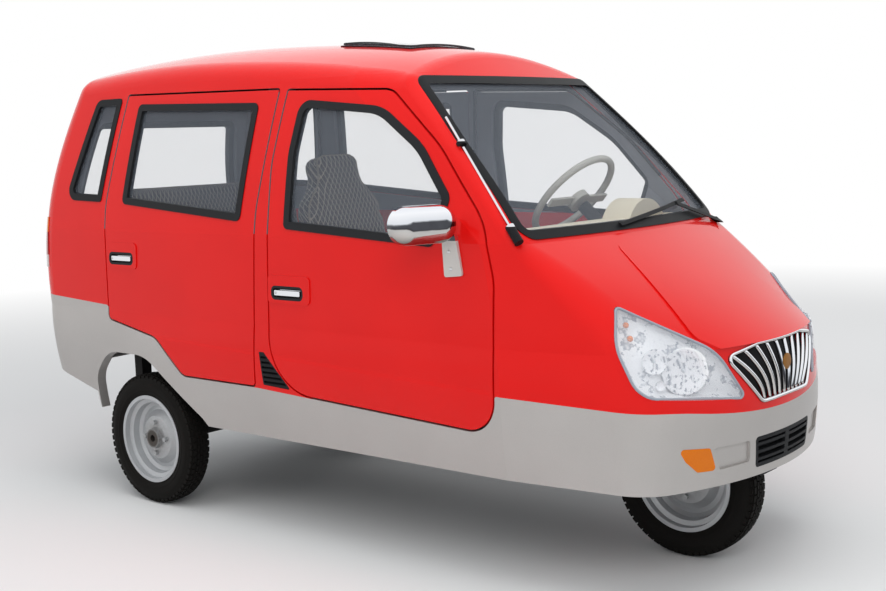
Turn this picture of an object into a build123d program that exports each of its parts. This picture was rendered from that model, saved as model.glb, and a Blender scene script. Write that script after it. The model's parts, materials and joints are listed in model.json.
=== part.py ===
"""Small enclosed three-wheeled passenger car with one steered front wheel and two driven rear wheels.

Millimetres. +X points forward, +Y to the car's left, +Z up, and the ground is Z = 0. Stations along
the car are measured forward from the rear axle and shifted by REAR_AXLE_X into the model's frame.
"""

import os
from collections import namedtuple
from math import atan2, cos, degrees, radians, sin

from build123d import *

os.makedirs("parts", exist_ok=True)

# ---------------------------------------------------------------- driving dimensions
WHEELBASE = 2060
NOSE_STATION = 2414
TAIL_STATION = -719
REAR_AXLE_X = -(NOSE_STATION + TAIL_STATION) / 2

TYRE_RADIUS = 262
TYRE_WIDTH = 104
TYRE_SHOULDER = 22
RIM_RADIUS = 166
RIM_WIDTH = 84
HUB_RADIUS = 42
AXLE_RADIUS = 14
REAR_WHEEL_Y = 598

DOOR_GAP = 7
WALL = 40
ROOF_WALL = 26
BIG = 2000

SEAL_WIDTH = 27
SEAL_PROUD = 4
SEAL_DEPTH = 22
GLASS_SET_IN = 8
GLASS_THICKNESS = 5
FIT = 0.3


def at(station):
    """Model X of a station measured forward from the rear axle."""
    return REAR_AXLE_X + station


FRONT_AXLE_X = at(WHEELBASE)

# ---------------------------------------------------------------- body form tables
# Plan outline of the body at one height. Nose and tail are centre-line stations; the bows are how
# far the outline falls back from there to the corner; taper is where the straight side ends.
Level = namedtuple("Level", "height half_width tail tail_bow tail_radius taper nose nose_bow nose_half nose_radius")
SKIRT_BASE = 355
BONNET_EDGE = 770
BELT = 1092
SKIRT_LEVELS = [
    Level(SKIRT_BASE, 636, -618, 40, 80, 1780, 2402, 165, 584, 170),
    Level(480, 656, -646, 40, 90, 1780, NOSE_STATION, 168, 586, 190),
    Level(610, 664, -675, 40, 95, 1780, 2411, 170, 586, 210),
    Level(BONNET_EDGE, 658, -697, 40, 100, 1760, 2389, 184, 578, 210),
]
BONNET_LEVELS = [
    SKIRT_LEVELS[-1],
    Level(930, 653, -719, 40, 105, 1740, 2150, 94, 602, 160),
    Level(BELT, 646, -715, 40, 110, 1700, 1907, 67, 624, 70),
]
CABIN_LEVELS = [
    BONNET_LEVELS[-1],
    Level(1360, 606, -672, 42, 110, 1390, 1664, 60, 585, 64),
    Level(1640, 548, -566, 45, 110, 1060, 1362, 45, 513, 70),
    Level(1860, 490, -480, 45, 110, 820, 1120, 40, 440, 70),
]
# Roof crown: height on the centre line, station by station, and how far it has fallen at ROOF_EDGE_Y.
Crown = namedtuple("Crown", "station height")
ROOF_CROWNS = [
    Crown(-900, 1725),
    Crown(-450, 1778),
    Crown(0, 1803),
    Crown(550, 1793),
    Crown(1050, 1753),
    Crown(1400, 1690),
    Crown(1700, 1590),
    Crown(2000, 1450),
]
ROOF_EDGE_Y = 700
ROOF_FALL = 160
ROOF_BASE = 1000
ROOF_ROUND = 96

# ---------------------------------------------------------------- side-view outlines
# Corner of an outline: station, height and the radius that rounds it.
Corner = namedtuple("Corner", "station height radius")
SILL_REAR = Corner(675, 541, 20)
SILL_FRONT = Corner(1758, 494, 110)
SILL_SLOPE = (SILL_FRONT.height - SILL_REAR.height) / (SILL_FRONT.station - SILL_REAR.station)
DOOR_SPLIT = 742
FRONT_DOOR = [
    Corner(790, 1610, 14),
    Corner(1275, 1590, 100),
    Corner(1512, 1396, 500),
    Corner(1712, 1160, 260),
    Corner(SILL_FRONT.station, 980, 200),
    SILL_FRONT,
    Corner(DOOR_SPLIT, SILL_REAR.height + (DOOR_SPLIT - SILL_REAR.station) * SILL_SLOPE, 215),
    Corner(DOOR_SPLIT, 1345, 400),
]
REAR_DOOR = [
    Corner(755, 1614, 14),
    Corner(682, 1180, 500),
    Corner(665, SILL_REAR.height, 20),
    Corner(249, SILL_REAR.height, 67),
    Corner(92, 680, 90),
    Corner(-203, 735, 30),
    Corner(-217, 1190, 400),
    Corner(-127, 1630, 14),
]
FRONT_WINDOW = [
    Corner(828, 1121, 22),
    Corner(830, 1380, 300),
    Corner(866, 1570, 60),
    Corner(1250, 1532, 200),
    Corner(1440, 1403, 300),
    Corner(1578, 1232, 45),
    Corner(1512, 1077, 24),
]
REAR_WINDOW = [
    Corner(-104, 1200, 24),
    Corner(-46, 1588, 24),
    Corner(652, 1566, 24),
    Corner(596, 1142, 24),
]
QUARTER_WINDOW = [
    Corner(-244, 1206, 14),
    Corner(-160, 1616, 14),
    Corner(-322, 1616, 45),
    Corner(-484, 1214, 45),
]
# Side view of the space that the windscreen opening is cut through.
WINDSCREEN_ZONE = [
    Corner(1795, 1080, 5),
    Corner(1544, 1360, 5),
    Corner(1242, 1640, 5),
    Corner(1110, 1760, 5),
    Corner(2100, 1760, 5),
    Corner(2100, 1080, 5),
]
# Line between the painted body and the grey cladding, from the tail forward, and its lower edge.
CLADDING = [
    Corner(-900, 832, 5),
    Corner(-203, 792, 12),
    Corner(-203, 735, 30),
    Corner(92, 680, 90),
    Corner(249, SILL_REAR.height, 67),
    SILL_REAR,
    SILL_FRONT,
    Corner(SILL_FRONT.station, 624, 8),
    Corner(2300, 600, 200),
    Corner(2600, 490, 5),
    Corner(2600, 200, 5),
    Corner(-900, 200, 5),
]
WHEEL_ARCH = [
    Corner(-322, 250, 5),
    Corner(-310, 500, 120),
    Corner(-215, 604, 130),
    Corner(20, 604, 190),
    Corner(330, 384, 60),
    Corner(450, 250, 5),
]
SKIRT_FOOT = [
    Corner(-900, 520, 5),
    Corner(-570, 497, 20),
    Corner(-322, 425, 5),
    Corner(-322, 250, 5),
    Corner(-900, 250, 5),
]
PILLAR_VENT = [
    Corner(690, 676, 5),
    Corner(716, 676, 5),
    Corner(848, 550, 5),
    Corner(706, 556, 5),
]
VENT_SLATS = 6

# End-view outlines: half width, height and corner radius.
Half = namedtuple("Half", "y height radius")
WINDSCREEN = [Half(604, 1103, 50), Half(558, 1408, 600), Half(496, 1629, 50)]
TAILGATE = [Half(545, 842, 40), Half(430, 1622, 50)]
TAIL_WINDOW = [Half(465, 1130, 45), Half(385, 1530, 45)]

GRILLE = [Half(150, 768, 900), Half(306, 742, 20), Half(160, 586, 36)]
GRILLE_RIM = 16
GRILLE_BARS = 9
GRILLE_BAR_PITCH = 56
GRILLE_BAR_WIDTH = 14
LOWER_GRILLE = [Half(190, 480, 14), Half(180, 382, 14)]
LOWER_GRILLE_RIM = 13
LOWER_SLATS = 3
LOWER_SLAT_PITCH = 24
LOWER_SLAT_HEIGHT = 9

RIGHT = -1
LEFT = 1


def plan_outline(level, inset):
    """Plan outline of the body at one level, as a face set in from the outer skin by inset."""
    half_width = level.half_width - inset
    tail = at(level.tail) + inset
    tail_edge = tail + level.tail_bow
    nose = at(level.nose) - inset
    nose_edge = nose - level.nose_bow
    nose_half = level.nose_half - inset
    taper = at(level.taper)
    with BuildSketch(Plane.XY.offset(level.height)) as outline:
        with BuildLine():
            ThreePointArc((tail_edge, -half_width), (tail, 0), (tail_edge, half_width))
            Line((tail_edge, half_width), (taper, half_width))
            Line((taper, half_width), (nose_edge, nose_half))
            ThreePointArc((nose_edge, nose_half), (nose, 0), (nose_edge, -nose_half))
            Line((nose_edge, -nose_half), (taper, -half_width))
            Line((taper, -half_width), (tail_edge, -half_width))
        make_face()
        fillet(outline.vertices().sort_by(Axis.X)[:2], level.tail_radius - inset)
        fillet(outline.vertices().sort_by(Axis.X)[-2:], level.nose_radius - inset)
    return outline.sketch


def body_form(inset, roof_inset, rounded=True):
    """Solid body form with its sides inset, and its roof roof_inset, inside the outer skin."""
    with BuildPart() as roof_limit:
        for crown in ROOF_CROWNS:
            top = crown.height - roof_inset
            edge = top - ROOF_FALL
            with BuildSketch(Plane.YZ.offset(at(crown.station))):
                with BuildLine():
                    ThreePointArc((-ROOF_EDGE_Y, edge), (0, top), (ROOF_EDGE_Y, edge))
                    Polyline((ROOF_EDGE_Y, edge), (ROOF_EDGE_Y, ROOF_BASE),
                             (-ROOF_EDGE_Y, ROOF_BASE), (-ROOF_EDGE_Y, edge))
                make_face()
        loft()
    with BuildPart() as cabin:
        loft([plan_outline(level, inset) for level in CABIN_LEVELS])
        add(roof_limit.part, mode=Mode.INTERSECT)
        if rounded:
            fillet(cabin.faces().sort_by(Axis.Z)[-1].edges(), ROOF_ROUND - inset)
    with BuildPart() as form:
        loft([plan_outline(level, inset) for level in SKIRT_LEVELS])
        loft([plan_outline(level, inset) for level in BONNET_LEVELS])
        add(cabin.part)
    return form.part


def side_face(corners, shift=0):
    """Side-view outline as a flat face, length by height, grown by shift."""
    points = [(at(corner.station), corner.height) for corner in corners]
    radii = [corner.radius for corner in corners]
    with BuildSketch() as outline:
        with BuildLine():
            FilletPolyline(*points, radius=radii, close=True)
        make_face()
        if shift:
            offset(amount=shift, mode=Mode.REPLACE)
    return outline.sketch


def side_prism(corners, side, shift=0, inner_y=300):
    """Side-view outline grown by shift and run out through one side of the car."""
    with BuildPart() as prism:
        with BuildSketch(Plane.XZ.offset(-side * inner_y)):
            add(side_face(corners, shift=shift))
        extrude(amount=-side * BIG)
    return prism.part


def end_face(halves, shift=0):
    """End-view outline mirrored about the centre line, as a flat face, grown by shift."""
    with BuildSketch() as outline:
        with BuildLine():
            FilletPolyline(*[(half.y, half.height) for half in halves],
                           *[(-half.y, half.height) for half in reversed(halves)],
                           radius=[half.radius for half in halves + halves[::-1]], close=True)
        make_face()
        if shift:
            offset(amount=shift, mode=Mode.REPLACE)
    return outline.sketch


def end_prism(halves, start, length, shift=0):
    """End-view outline grown by shift and run along X from start."""
    with BuildPart() as prism:
        with BuildSketch(Plane.YZ.offset(start)):
            add(end_face(halves, shift))
        extrude(amount=length)
    return prism.part


def block(low, high):
    """Box between two corners."""
    with BuildPart(mode=Mode.PRIVATE) as box:
        with Locations([tuple((a + b) / 2 for a, b in zip(low, high))]):
            Box(*[b - a for a, b in zip(low, high)])
    return box.part


def keep(name, part):
    """Label one finished piece and write it."""
    part.label = name
    export_step(part, f"parts/{name}.step")


OUTER = body_form(0, 0)
INNER = body_form(WALL, ROOF_WALL, False)
PROUD = body_form(-SEAL_PROUD, -SEAL_PROUD)
GLASS_FACE = body_form(GLASS_SET_IN, GLASS_SET_IN)
GLASS_BACK = body_form(GLASS_SET_IN + GLASS_THICKNESS, GLASS_SET_IN + GLASS_THICKNESS)
SEAL_BACK = body_form(SEAL_DEPTH, SEAL_DEPTH)
GLAZING = GLASS_FACE - GLASS_BACK
SEALING = PROUD - SEAL_BACK
SHELL = OUTER - INNER
RECESS = OUTER - SEAL_BACK
LENS_SKIN = OUTER - GLASS_FACE


def both(part):
    """The part and its mirror image on the other side of the car."""
    return part + mirror(part, Plane.XZ)


def through(corners, shift=0):
    """Side-view outline grown by shift and run right across the car."""
    return side_prism(corners, RIGHT, shift, -BIG / 2)


# ---------------------------------------------------------------- lamps and grilles set in the skin
# Headlamp corners on the plane that faces 45 degrees outward: distance along it and height.
LAMP_CORNERS = [(1120, 912, 12), (1100, 800, 150), (1160, 650, 90), (1530, 608, 12), (1425, 765, 200)]
LAMP_START = 1000
LAMP_HOUSING_WALL = 7
INDICATOR = [(-492, 491), (-382, 480), (-355, 407), (-424, 411), (-466, 449)]
POCKET = [(-370, 478), (-216, 475), (-211, 409), (-341, 406)]
INDICATOR_RADIUS = 10
TAIL_LAMP_INNER_Y = 572
TAIL_LAMP_FRONT = -609
TAIL_LAMP_LOW = 930
TAIL_LAMP_HIGH = 1140


def headlamp_prism(shift=0):
    """Right headlamp outline run along the diagonal that it faces."""
    facing = Plane(origin=(0, 0, 0), x_dir=(1, 1, 0), z_dir=(1, -1, 0))
    shifted = at(0) / 2 ** 0.5
    with BuildSketch() as outline:
        with BuildLine():
            FilletPolyline(*[(along + shifted, height) for along, height, radius in LAMP_CORNERS],
                           radius=[radius for along, height, radius in LAMP_CORNERS], close=True)
        make_face()
        if shift:
            offset(amount=shift, mode=Mode.REPLACE)
    with BuildPart() as prism:
        with BuildSketch(facing.offset(LAMP_START)):
            add(outline.sketch)
        extrude(amount=BIG)
    return prism.part


def front_corner_prism(corners, shift=0):
    """End-view outline of a fitting on the right of the bumper, run forward through it."""
    with BuildSketch() as outline:
        with BuildLine():
            FilletPolyline(*corners, radius=INDICATOR_RADIUS, close=True)
        make_face()
        if shift:
            offset(amount=shift, mode=Mode.REPLACE)
    with BuildPart() as prism:
        with BuildSketch(Plane.YZ.offset(at(2100))):
            add(outline.sketch)
        extrude(amount=BIG)
    return prism.part


LAMP_SPACE = both(headlamp_prism())
INDICATOR_SPACE = both(front_corner_prism(INDICATOR))
POCKET_SPACE = both(front_corner_prism(POCKET))
tail_lamp_block = block((-BIG, -BIG, TAIL_LAMP_LOW), (at(TAIL_LAMP_FRONT), -TAIL_LAMP_INNER_Y, TAIL_LAMP_HIGH))
TAIL_LAMP_SPACE = both(tail_lamp_block)
NOSE_START = at(2200)
GRILLE_SPACE = end_prism(GRILLE, NOSE_START, BIG)
LOWER_GRILLE_SPACE = end_prism(LOWER_GRILLE, NOSE_START, BIG)

# ---------------------------------------------------------------- roof hatch opening
HATCH_FRONT = 1061
HATCH_REAR = 709
HATCH_HALF = 193
HATCH_RIM = 22
HATCH_PANE = 6
HATCH_SPACE = block((at(HATCH_REAR), -HATCH_HALF, BELT), (at(HATCH_FRONT), HATCH_HALF, BIG))

# ---------------------------------------------------------------- body panels
ROOF_LINE = 1640
NOSE_REAR = SILL_FRONT.station
PILLAR_FOOT = 1108
TAIL_SPLIT = -560
CLADDING_SPACE = through(CLADDING)
DOORWAYS = both(side_prism(FRONT_DOOR, RIGHT) + side_prism(REAR_DOOR, RIGHT))
TAIL_OPENING = end_prism(TAILGATE, -BIG, BIG + at(0))
QUARTER_SPACE = both(side_prism(QUARTER_WINDOW, RIGHT))
WINDSCREEN_START = at(900)
WINDSCREEN_SPACE = end_prism(WINDSCREEN, WINDSCREEN_START, BIG) & through(WINDSCREEN_ZONE)
PLATEAU = [(1940, 240), (2285, 362), (2440, 250), (2440, -250), (2285, -362), (1940, -240)]
PLATEAU_RADIUS = 40
# How far the bonnet's raised middle stands ahead of the bonnet itself, from its front edge up.
PLATEAU_RISES = [11, 8, 3]

upper = SHELL - CLADDING_SPACE
upper -= DOORWAYS
upper -= TAIL_OPENING
upper -= QUARTER_SPACE
upper -= WINDSCREEN_SPACE
roof_zone = block((-BIG, -BIG, ROOF_LINE), (BIG, BIG, BIG))
nose_zone = block((at(NOSE_REAR), -BIG, 0), (BIG, BIG, PILLAR_FOOT))

roof_panel = upper & roof_zone
roof_panel -= HATCH_SPACE
keep("roof_panel", roof_panel)

nose_shell = upper & nose_zone
nose_shell -= LAMP_SPACE
nose_shell -= GRILLE_SPACE
with BuildPart() as plateau:
    with BuildSketch():
        with BuildLine():
            FilletPolyline(*[(at(station), y) for station, y in PLATEAU], radius=PLATEAU_RADIUS, close=True)
        make_face()
    extrude(amount=BIG)
raised_levels = [level._replace(nose=level.nose + rise) for level, rise in zip(BONNET_LEVELS, PLATEAU_RISES)]
with BuildPart() as raised_bonnet:
    loft([plan_outline(level, 0) for level in raised_levels])
    add(plateau.part, mode=Mode.INTERSECT)
    add(INNER, mode=Mode.SUBTRACT)
nose_shell += raised_bonnet.part - GRILLE_SPACE - LAMP_SPACE
keep("nose_shell", nose_shell)

frames = upper - roof_zone
frames -= nose_zone
frames -= TAIL_LAMP_SPACE & RECESS
side_frame_right = frames & block((-BIG, -BIG, 0), (BIG, 0, BIG))
side_frame_right -= side_prism(PILLAR_VENT, RIGHT) & RECESS
keep("side_frame_right", side_frame_right)
keep("side_frame_left", mirror(side_frame_right, Plane.XZ))

lower = SHELL & CLADDING_SPACE
lower -= through(WHEEL_ARCH)
lower -= through(SKIRT_FOOT)
front_bumper = lower & block((at(NOSE_REAR), -BIG, 0), (BIG, BIG, BIG))
front_bumper -= LOWER_GRILLE_SPACE
front_bumper -= INDICATOR_SPACE & RECESS
front_bumper -= POCKET_SPACE & LENS_SKIN
front_bumper -= GRILLE_SPACE
keep("front_bumper", front_bumper)
rear_bumper = lower & block((-BIG, -BIG, 0), (at(TAIL_SPLIT), BIG, BIG))
keep("rear_bumper", rear_bumper)
side_skirt_right = lower & block((at(TAIL_SPLIT), -BIG, 0), (at(NOSE_REAR), 0, BIG))
keep("side_skirt_right", side_skirt_right)
keep("side_skirt_left", mirror(side_skirt_right, Plane.XZ))

# ---------------------------------------------------------------- fixed glass and its seals
WINDSCREEN_GLASS_SPACE = end_prism(WINDSCREEN, WINDSCREEN_START, BIG, -SEAL_WIDTH) & through(WINDSCREEN_ZONE)
keep("windscreen", GLAZING & WINDSCREEN_GLASS_SPACE)
windscreen_seal = SEALING & (WINDSCREEN_SPACE - WINDSCREEN_GLASS_SPACE)
windscreen_seal -= DOORWAYS
keep("windscreen_seal", windscreen_seal)
quarter_glass = GLAZING & side_prism(QUARTER_WINDOW, RIGHT, -SEAL_WIDTH)
keep("quarter_windows", both(quarter_glass))
quarter_seal = SEALING & (side_prism(QUARTER_WINDOW, RIGHT) - side_prism(QUARTER_WINDOW, RIGHT, -SEAL_WIDTH))
keep("quarter_seals", both(quarter_seal))

# ---------------------------------------------------------------- lamps and grilles
lens = LENS_SKIN & headlamp_prism(-FIT)
keep("headlamp_lenses", both(lens))
housing = (GLASS_FACE - INNER) & headlamp_prism(-FIT)
housing -= (GLASS_FACE - SEAL_BACK) & headlamp_prism(-LAMP_HOUSING_WALL)
keep("headlamp_housings", both(housing))
keep("indicators", both(RECESS & front_corner_prism(INDICATOR, -FIT)))
keep("tail_lamps", SEALING & TAIL_LAMP_SPACE)

with BuildPart() as grille_bars:
    with Locations((at(NOSE_STATION), 0, GRILLE[1].height)):
        with GridLocations(1, GRILLE_BAR_PITCH, 1, GRILLE_BARS):
            Box(BIG / 4, GRILLE_BAR_WIDTH, BIG / 4)
with BuildPart() as grille:
    add(GRILLE_SPACE)
    add(end_prism(GRILLE, NOSE_START, BIG, -GRILLE_RIM), mode=Mode.SUBTRACT)
    add(grille_bars.part & end_prism(GRILLE, NOSE_START, BIG, -1))
    add(SEALING, mode=Mode.INTERSECT)
keep("grille", grille.part - LAMP_SPACE)
BACKING = SEAL_BACK - INNER
keep("grille_backing", (BACKING & end_prism(GRILLE, NOSE_START, BIG, -FIT)) - LAMP_SPACE)

with BuildPart() as lower_slats:
    middle = (LOWER_GRILLE[0].height + LOWER_GRILLE[1].height) / 2
    with Locations((at(NOSE_STATION), 0, middle)):
        Box(BIG / 4, 2 * LOWER_GRILLE_RIM, BIG / 4)
        for step in range(LOWER_SLATS):
            with Locations((0, 0, (step - (LOWER_SLATS - 1) / 2) * LOWER_SLAT_PITCH)):
                Box(BIG / 4, BIG / 2, LOWER_SLAT_HEIGHT)
with BuildPart() as lower_grille:
    add(LOWER_GRILLE_SPACE)
    add(end_prism(LOWER_GRILLE, NOSE_START, BIG, -LOWER_GRILLE_RIM), mode=Mode.SUBTRACT)
    add(lower_slats.part & end_prism(LOWER_GRILLE, NOSE_START, BIG, -1))
    add(RECESS, mode=Mode.INTERSECT)
    add(BACKING & LOWER_GRILLE_SPACE)
keep("lower_grille", lower_grille.part)

# ---------------------------------------------------------------- pillar vents
VENT_LOWEST = 566
VENT_PITCH = 18
VENT_SLOT = 8
VENT_TURN = 25
with BuildPart() as vent_slots:
    for step in range(VENT_SLATS):
        with Locations((at(PILLAR_VENT[1].station), -SKIRT_LEVELS[2].half_width, VENT_LOWEST + step * VENT_PITCH)):
            Box(BIG / 4, WALL, VENT_SLOT, rotation=(VENT_TURN, 0, 0))
pillar_vent = RECESS & side_prism(PILLAR_VENT, RIGHT, -FIT)
pillar_vent -= vent_slots.part & side_prism(PILLAR_VENT, RIGHT, -6) & (OUTER - GLASS_BACK)
keep("pillar_vents", both(pillar_vent))

# ---------------------------------------------------------------- doors
# Each side door's handle: middle, length and height of the black bezel, and of the raised pad behind it.
Handle = namedtuple("Handle", "station height length depth pad_station pad_height pad_length pad_depth")
FRONT_HANDLE = Handle(845, 895, 160, 50, 852, 907, 212, 100)
REAR_HANDLE = Handle(-104, 984, 154, 50, -96, 995, 178, 104)
HANDLE_ROUND = 20
BEZEL_RIM = 9
PADDLE_MARGIN = 16
SIDE_DOORS = {
    "front_door": (FRONT_DOOR, FRONT_WINDOW, FRONT_HANDLE),
    "rear_door": (REAR_DOOR, REAR_WINDOW, REAR_HANDLE),
}


def rounded_prism(station, height, length, depth, radius):
    """Rounded rectangle in side view, run out through the right side of the car."""
    half_length = length / 2
    half_depth = depth / 2
    corners = [
        Corner(station - half_length, height - half_depth, radius),
        Corner(station - half_length, height + half_depth, radius),
        Corner(station + half_length, height + half_depth, radius),
        Corner(station + half_length, height - half_depth, radius),
    ]
    return side_prism(corners, RIGHT)


for name, (outline, window, handle) in SIDE_DOORS.items():
    bezel = rounded_prism(handle.station, handle.height, handle.length, handle.depth, HANDLE_ROUND)
    finger_space = rounded_prism(handle.station, handle.height, handle.length - 2 * BEZEL_RIM,
                                 handle.depth - 2 * BEZEL_RIM, HANDLE_ROUND - BEZEL_RIM)
    paddle = rounded_prism(handle.station, handle.height, handle.length - 2 * PADDLE_MARGIN,
                           handle.depth - 2 * PADDLE_MARGIN, HANDLE_ROUND - PADDLE_MARGIN)
    pad = rounded_prism(handle.pad_station, handle.pad_height, handle.pad_length, handle.pad_depth, HANDLE_ROUND)
    window_hole = side_prism(window, RIGHT)
    glass_hole = side_prism(window, RIGHT, -SEAL_WIDTH)
    door_form = side_prism(outline, RIGHT, -DOOR_GAP)
    panel = SHELL & door_form
    panel += (PROUD - OUTER) & pad & door_form
    panel -= window_hole
    panel -= bezel & (PROUD - SEAL_BACK)
    glass = GLAZING & glass_hole
    trim = SEALING & (window_hole - glass_hole)
    handle_part = SEALING & bezel
    handle_part -= (PROUD - GLASS_BACK) & (finger_space - paddle)
    trim += handle_part
    for side, turn in (("right", None), ("left", Plane.XZ)):
        keep(f"{name}_{side}_panel", mirror(panel, turn) if turn else panel)
        keep(f"{name}_{side}_glass", mirror(glass, turn) if turn else glass)
        keep(f"{name}_{side}_trim", mirror(trim, turn) if turn else trim)

TAIL_REACH = BIG + at(0)
tail_window_space = end_prism(TAIL_WINDOW, -BIG, TAIL_REACH)
tail_glass_space = end_prism(TAIL_WINDOW, -BIG, TAIL_REACH, -SEAL_WIDTH)
tailgate = SHELL & end_prism(TAILGATE, -BIG, TAIL_REACH, -DOOR_GAP)
tailgate -= tail_window_space
keep("tailgate_panel", tailgate)
keep("tailgate_glass", GLAZING & tail_glass_space)
keep("tailgate_seal", SEALING & (tail_window_space - tail_glass_space))

# ---------------------------------------------------------------- roof hatch
HATCH_FRAME = HATCH_SPACE - block((at(HATCH_REAR) + HATCH_RIM, -HATCH_HALF + HATCH_RIM, BELT),
                                  (at(HATCH_FRONT) - HATCH_RIM, HATCH_HALF - HATCH_RIM, BIG))
keep("hatch_frame", HATCH_FRAME & (PROUD - INNER))
with BuildPart() as hatch_pane:
    with BuildSketch(Plane.XY.offset(BELT)):
        with Locations((at((HATCH_FRONT + HATCH_REAR) / 2), 0)):
            RectangleRounded(HATCH_FRONT - HATCH_REAR, 2 * HATCH_HALF, HATCH_RIM)
    extrude(amount=BIG)
    add(Pos(0, 0, HATCH_PANE) * PROUD - PROUD, mode=Mode.INTERSECT)
keep("hatch_pane", hatch_pane.part)

# ---------------------------------------------------------------- floor, bulkhead and chassis
FLOOR_TOP = 392
FLOOR_THICKNESS = 12
SEAT_BOX_FRONT = 1330
SEAT_BOX_REAR = 790
SEAT_BOX_TOP = 590
DECK_FRONT = 330
DECK_REAR = -600
RAIL_REAR = -500
DECK_TOP = 620
BULKHEAD = 1770
BULKHEAD_TOP = 1088
CABIN_HALF = 588
FLOOR_EDGE_TOP = 470
RAIL_Y = 300
RAIL_WIDTH = 50
RAIL_HEIGHT = 60
RAIL_TOP = FLOOR_TOP - FLOOR_THICKNESS
RAIL_FRONT = BULKHEAD + FLOOR_THICKNESS + 46
CROSS_STATIONS = [RAIL_REAR + 25, DECK_FRONT - 25, 845, 1255, 1700]
FLOOR_PATH = [
    (DECK_REAR, DECK_TOP),
    (DECK_FRONT, DECK_TOP),
    (DECK_FRONT, FLOOR_TOP),
    (SEAT_BOX_REAR, FLOOR_TOP),
    (SEAT_BOX_REAR, SEAT_BOX_TOP),
    (SEAT_BOX_FRONT, SEAT_BOX_TOP),
    (SEAT_BOX_FRONT, FLOOR_TOP),
    (BULKHEAD, FLOOR_TOP),
    (BULKHEAD, BULKHEAD_TOP),
]
with BuildPart() as floor_pan:
    with BuildSketch(Plane.XZ.offset(-BIG / 2)):
        with BuildLine():
            Polyline(*[(at(station), height) for station, height in FLOOR_PATH])
            offset(amount=FLOOR_THICKNESS, side=Side.RIGHT)
        make_face()
    extrude(amount=BIG)
    add(INNER, mode=Mode.INTERSECT)
    for side in (RIGHT, LEFT):
        with Locations((0, side * (CABIN_HALF + 100), FLOOR_EDGE_TOP + 500)):
            Box(2 * (BIG + at(0)), 200, 1000, mode=Mode.SUBTRACT)
keep("floor_pan", floor_pan.part)

RAKE = 15
RAKE_SIN = sin(radians(RAKE))
RAKE_COS = cos(radians(RAKE))
STEER_AXIS = Plane(origin=(FRONT_AXLE_X, 0, TYRE_RADIUS), z_dir=(-RAKE_SIN, 0, RAKE_COS), x_dir=(RAKE_COS, 0, RAKE_SIN))
HEAD_LOW = 410
HEAD_HIGH = 560
HEAD_RADIUS = 30
STEM_RADIUS = 15
RUNNING_FIT = 0.4
HEAD_BEAM_LOW = 660
HEAD_BEAM_HIGH = 740
HEAD_STATION = WHEELBASE - (HEAD_LOW + HEAD_HIGH) / 2 * RAKE_SIN
SPRING_Y = 385
SPRING_WIDTH = 50
SPRING_HALF = 440
SPRING_LEAF = 8
SPRING_LEAVES = 4
SPRING_STEP = 0.2
AXLE_TUBE_RADIUS = 34
AXLE_TUBE_HALF = 540
DIFF_RADIUS = 92
DIFF_HALF = 105
HANGER_LENGTH = 30
HANGER_HEIGHT = 26

with BuildPart() as chassis_frame:
    for side in (RIGHT, LEFT):
        with Locations((at((RAIL_REAR + RAIL_FRONT) / 2), side * RAIL_Y, RAIL_TOP - RAIL_HEIGHT / 2)):
            Box(RAIL_FRONT - RAIL_REAR, RAIL_WIDTH, RAIL_HEIGHT)
        for station in (RAIL_REAR + 25, DECK_FRONT - 45):
            with Locations((at(station), side * RAIL_Y, (RAIL_TOP + DECK_TOP - FLOOR_THICKNESS) / 2)):
                Box(RAIL_WIDTH, RAIL_WIDTH, DECK_TOP - FLOOR_THICKNESS - RAIL_TOP)
        with Locations((at(RAIL_FRONT - 20), side * RAIL_Y, (RAIL_TOP + HEAD_BEAM_HIGH) / 2)):
            Box(40, RAIL_WIDTH, HEAD_BEAM_HIGH - RAIL_TOP)
    for station in CROSS_STATIONS:
        with Locations((at(station), 0, RAIL_TOP - RAIL_HEIGHT / 2)):
            Box(RAIL_WIDTH, 2 * RAIL_Y, RAIL_HEIGHT)
    with Locations((at(RAIL_FRONT - 20), 0, (HEAD_BEAM_LOW + HEAD_BEAM_HIGH) / 2)):
        Box(40, 2 * RAIL_Y, HEAD_BEAM_HIGH - HEAD_BEAM_LOW)
    gusset_length = HEAD_STATION - RAIL_FRONT
    with Locations((at(RAIL_FRONT + gusset_length / 2), 0, (HEAD_BEAM_LOW + HEAD_BEAM_HIGH) / 2)):
        Box(gusset_length, 2 * HEAD_RADIUS, HEAD_BEAM_HIGH - HEAD_BEAM_LOW)
    with BuildSketch(STEER_AXIS.offset(HEAD_LOW)):
        Circle(HEAD_RADIUS)
    extrude(amount=HEAD_HIGH - HEAD_LOW)
    with BuildSketch(STEER_AXIS.offset(HEAD_LOW - 50)):
        Circle(STEM_RADIUS + RUNNING_FIT)
    extrude(amount=HEAD_HIGH - HEAD_LOW + 100, mode=Mode.SUBTRACT)
    for side in (RIGHT, LEFT):
        for station in (-SPRING_HALF, SPRING_HALF):
            hanger_middle = side * (RAIL_Y + SPRING_Y + SPRING_WIDTH / 2) / 2
            with Locations((at(station), hanger_middle, RAIL_TOP - HANGER_HEIGHT / 2)):
                Box(HANGER_LENGTH, SPRING_Y + SPRING_WIDTH / 2 - RAIL_Y, HANGER_HEIGHT)
keep("chassis_frame", chassis_frame.part)

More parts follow.
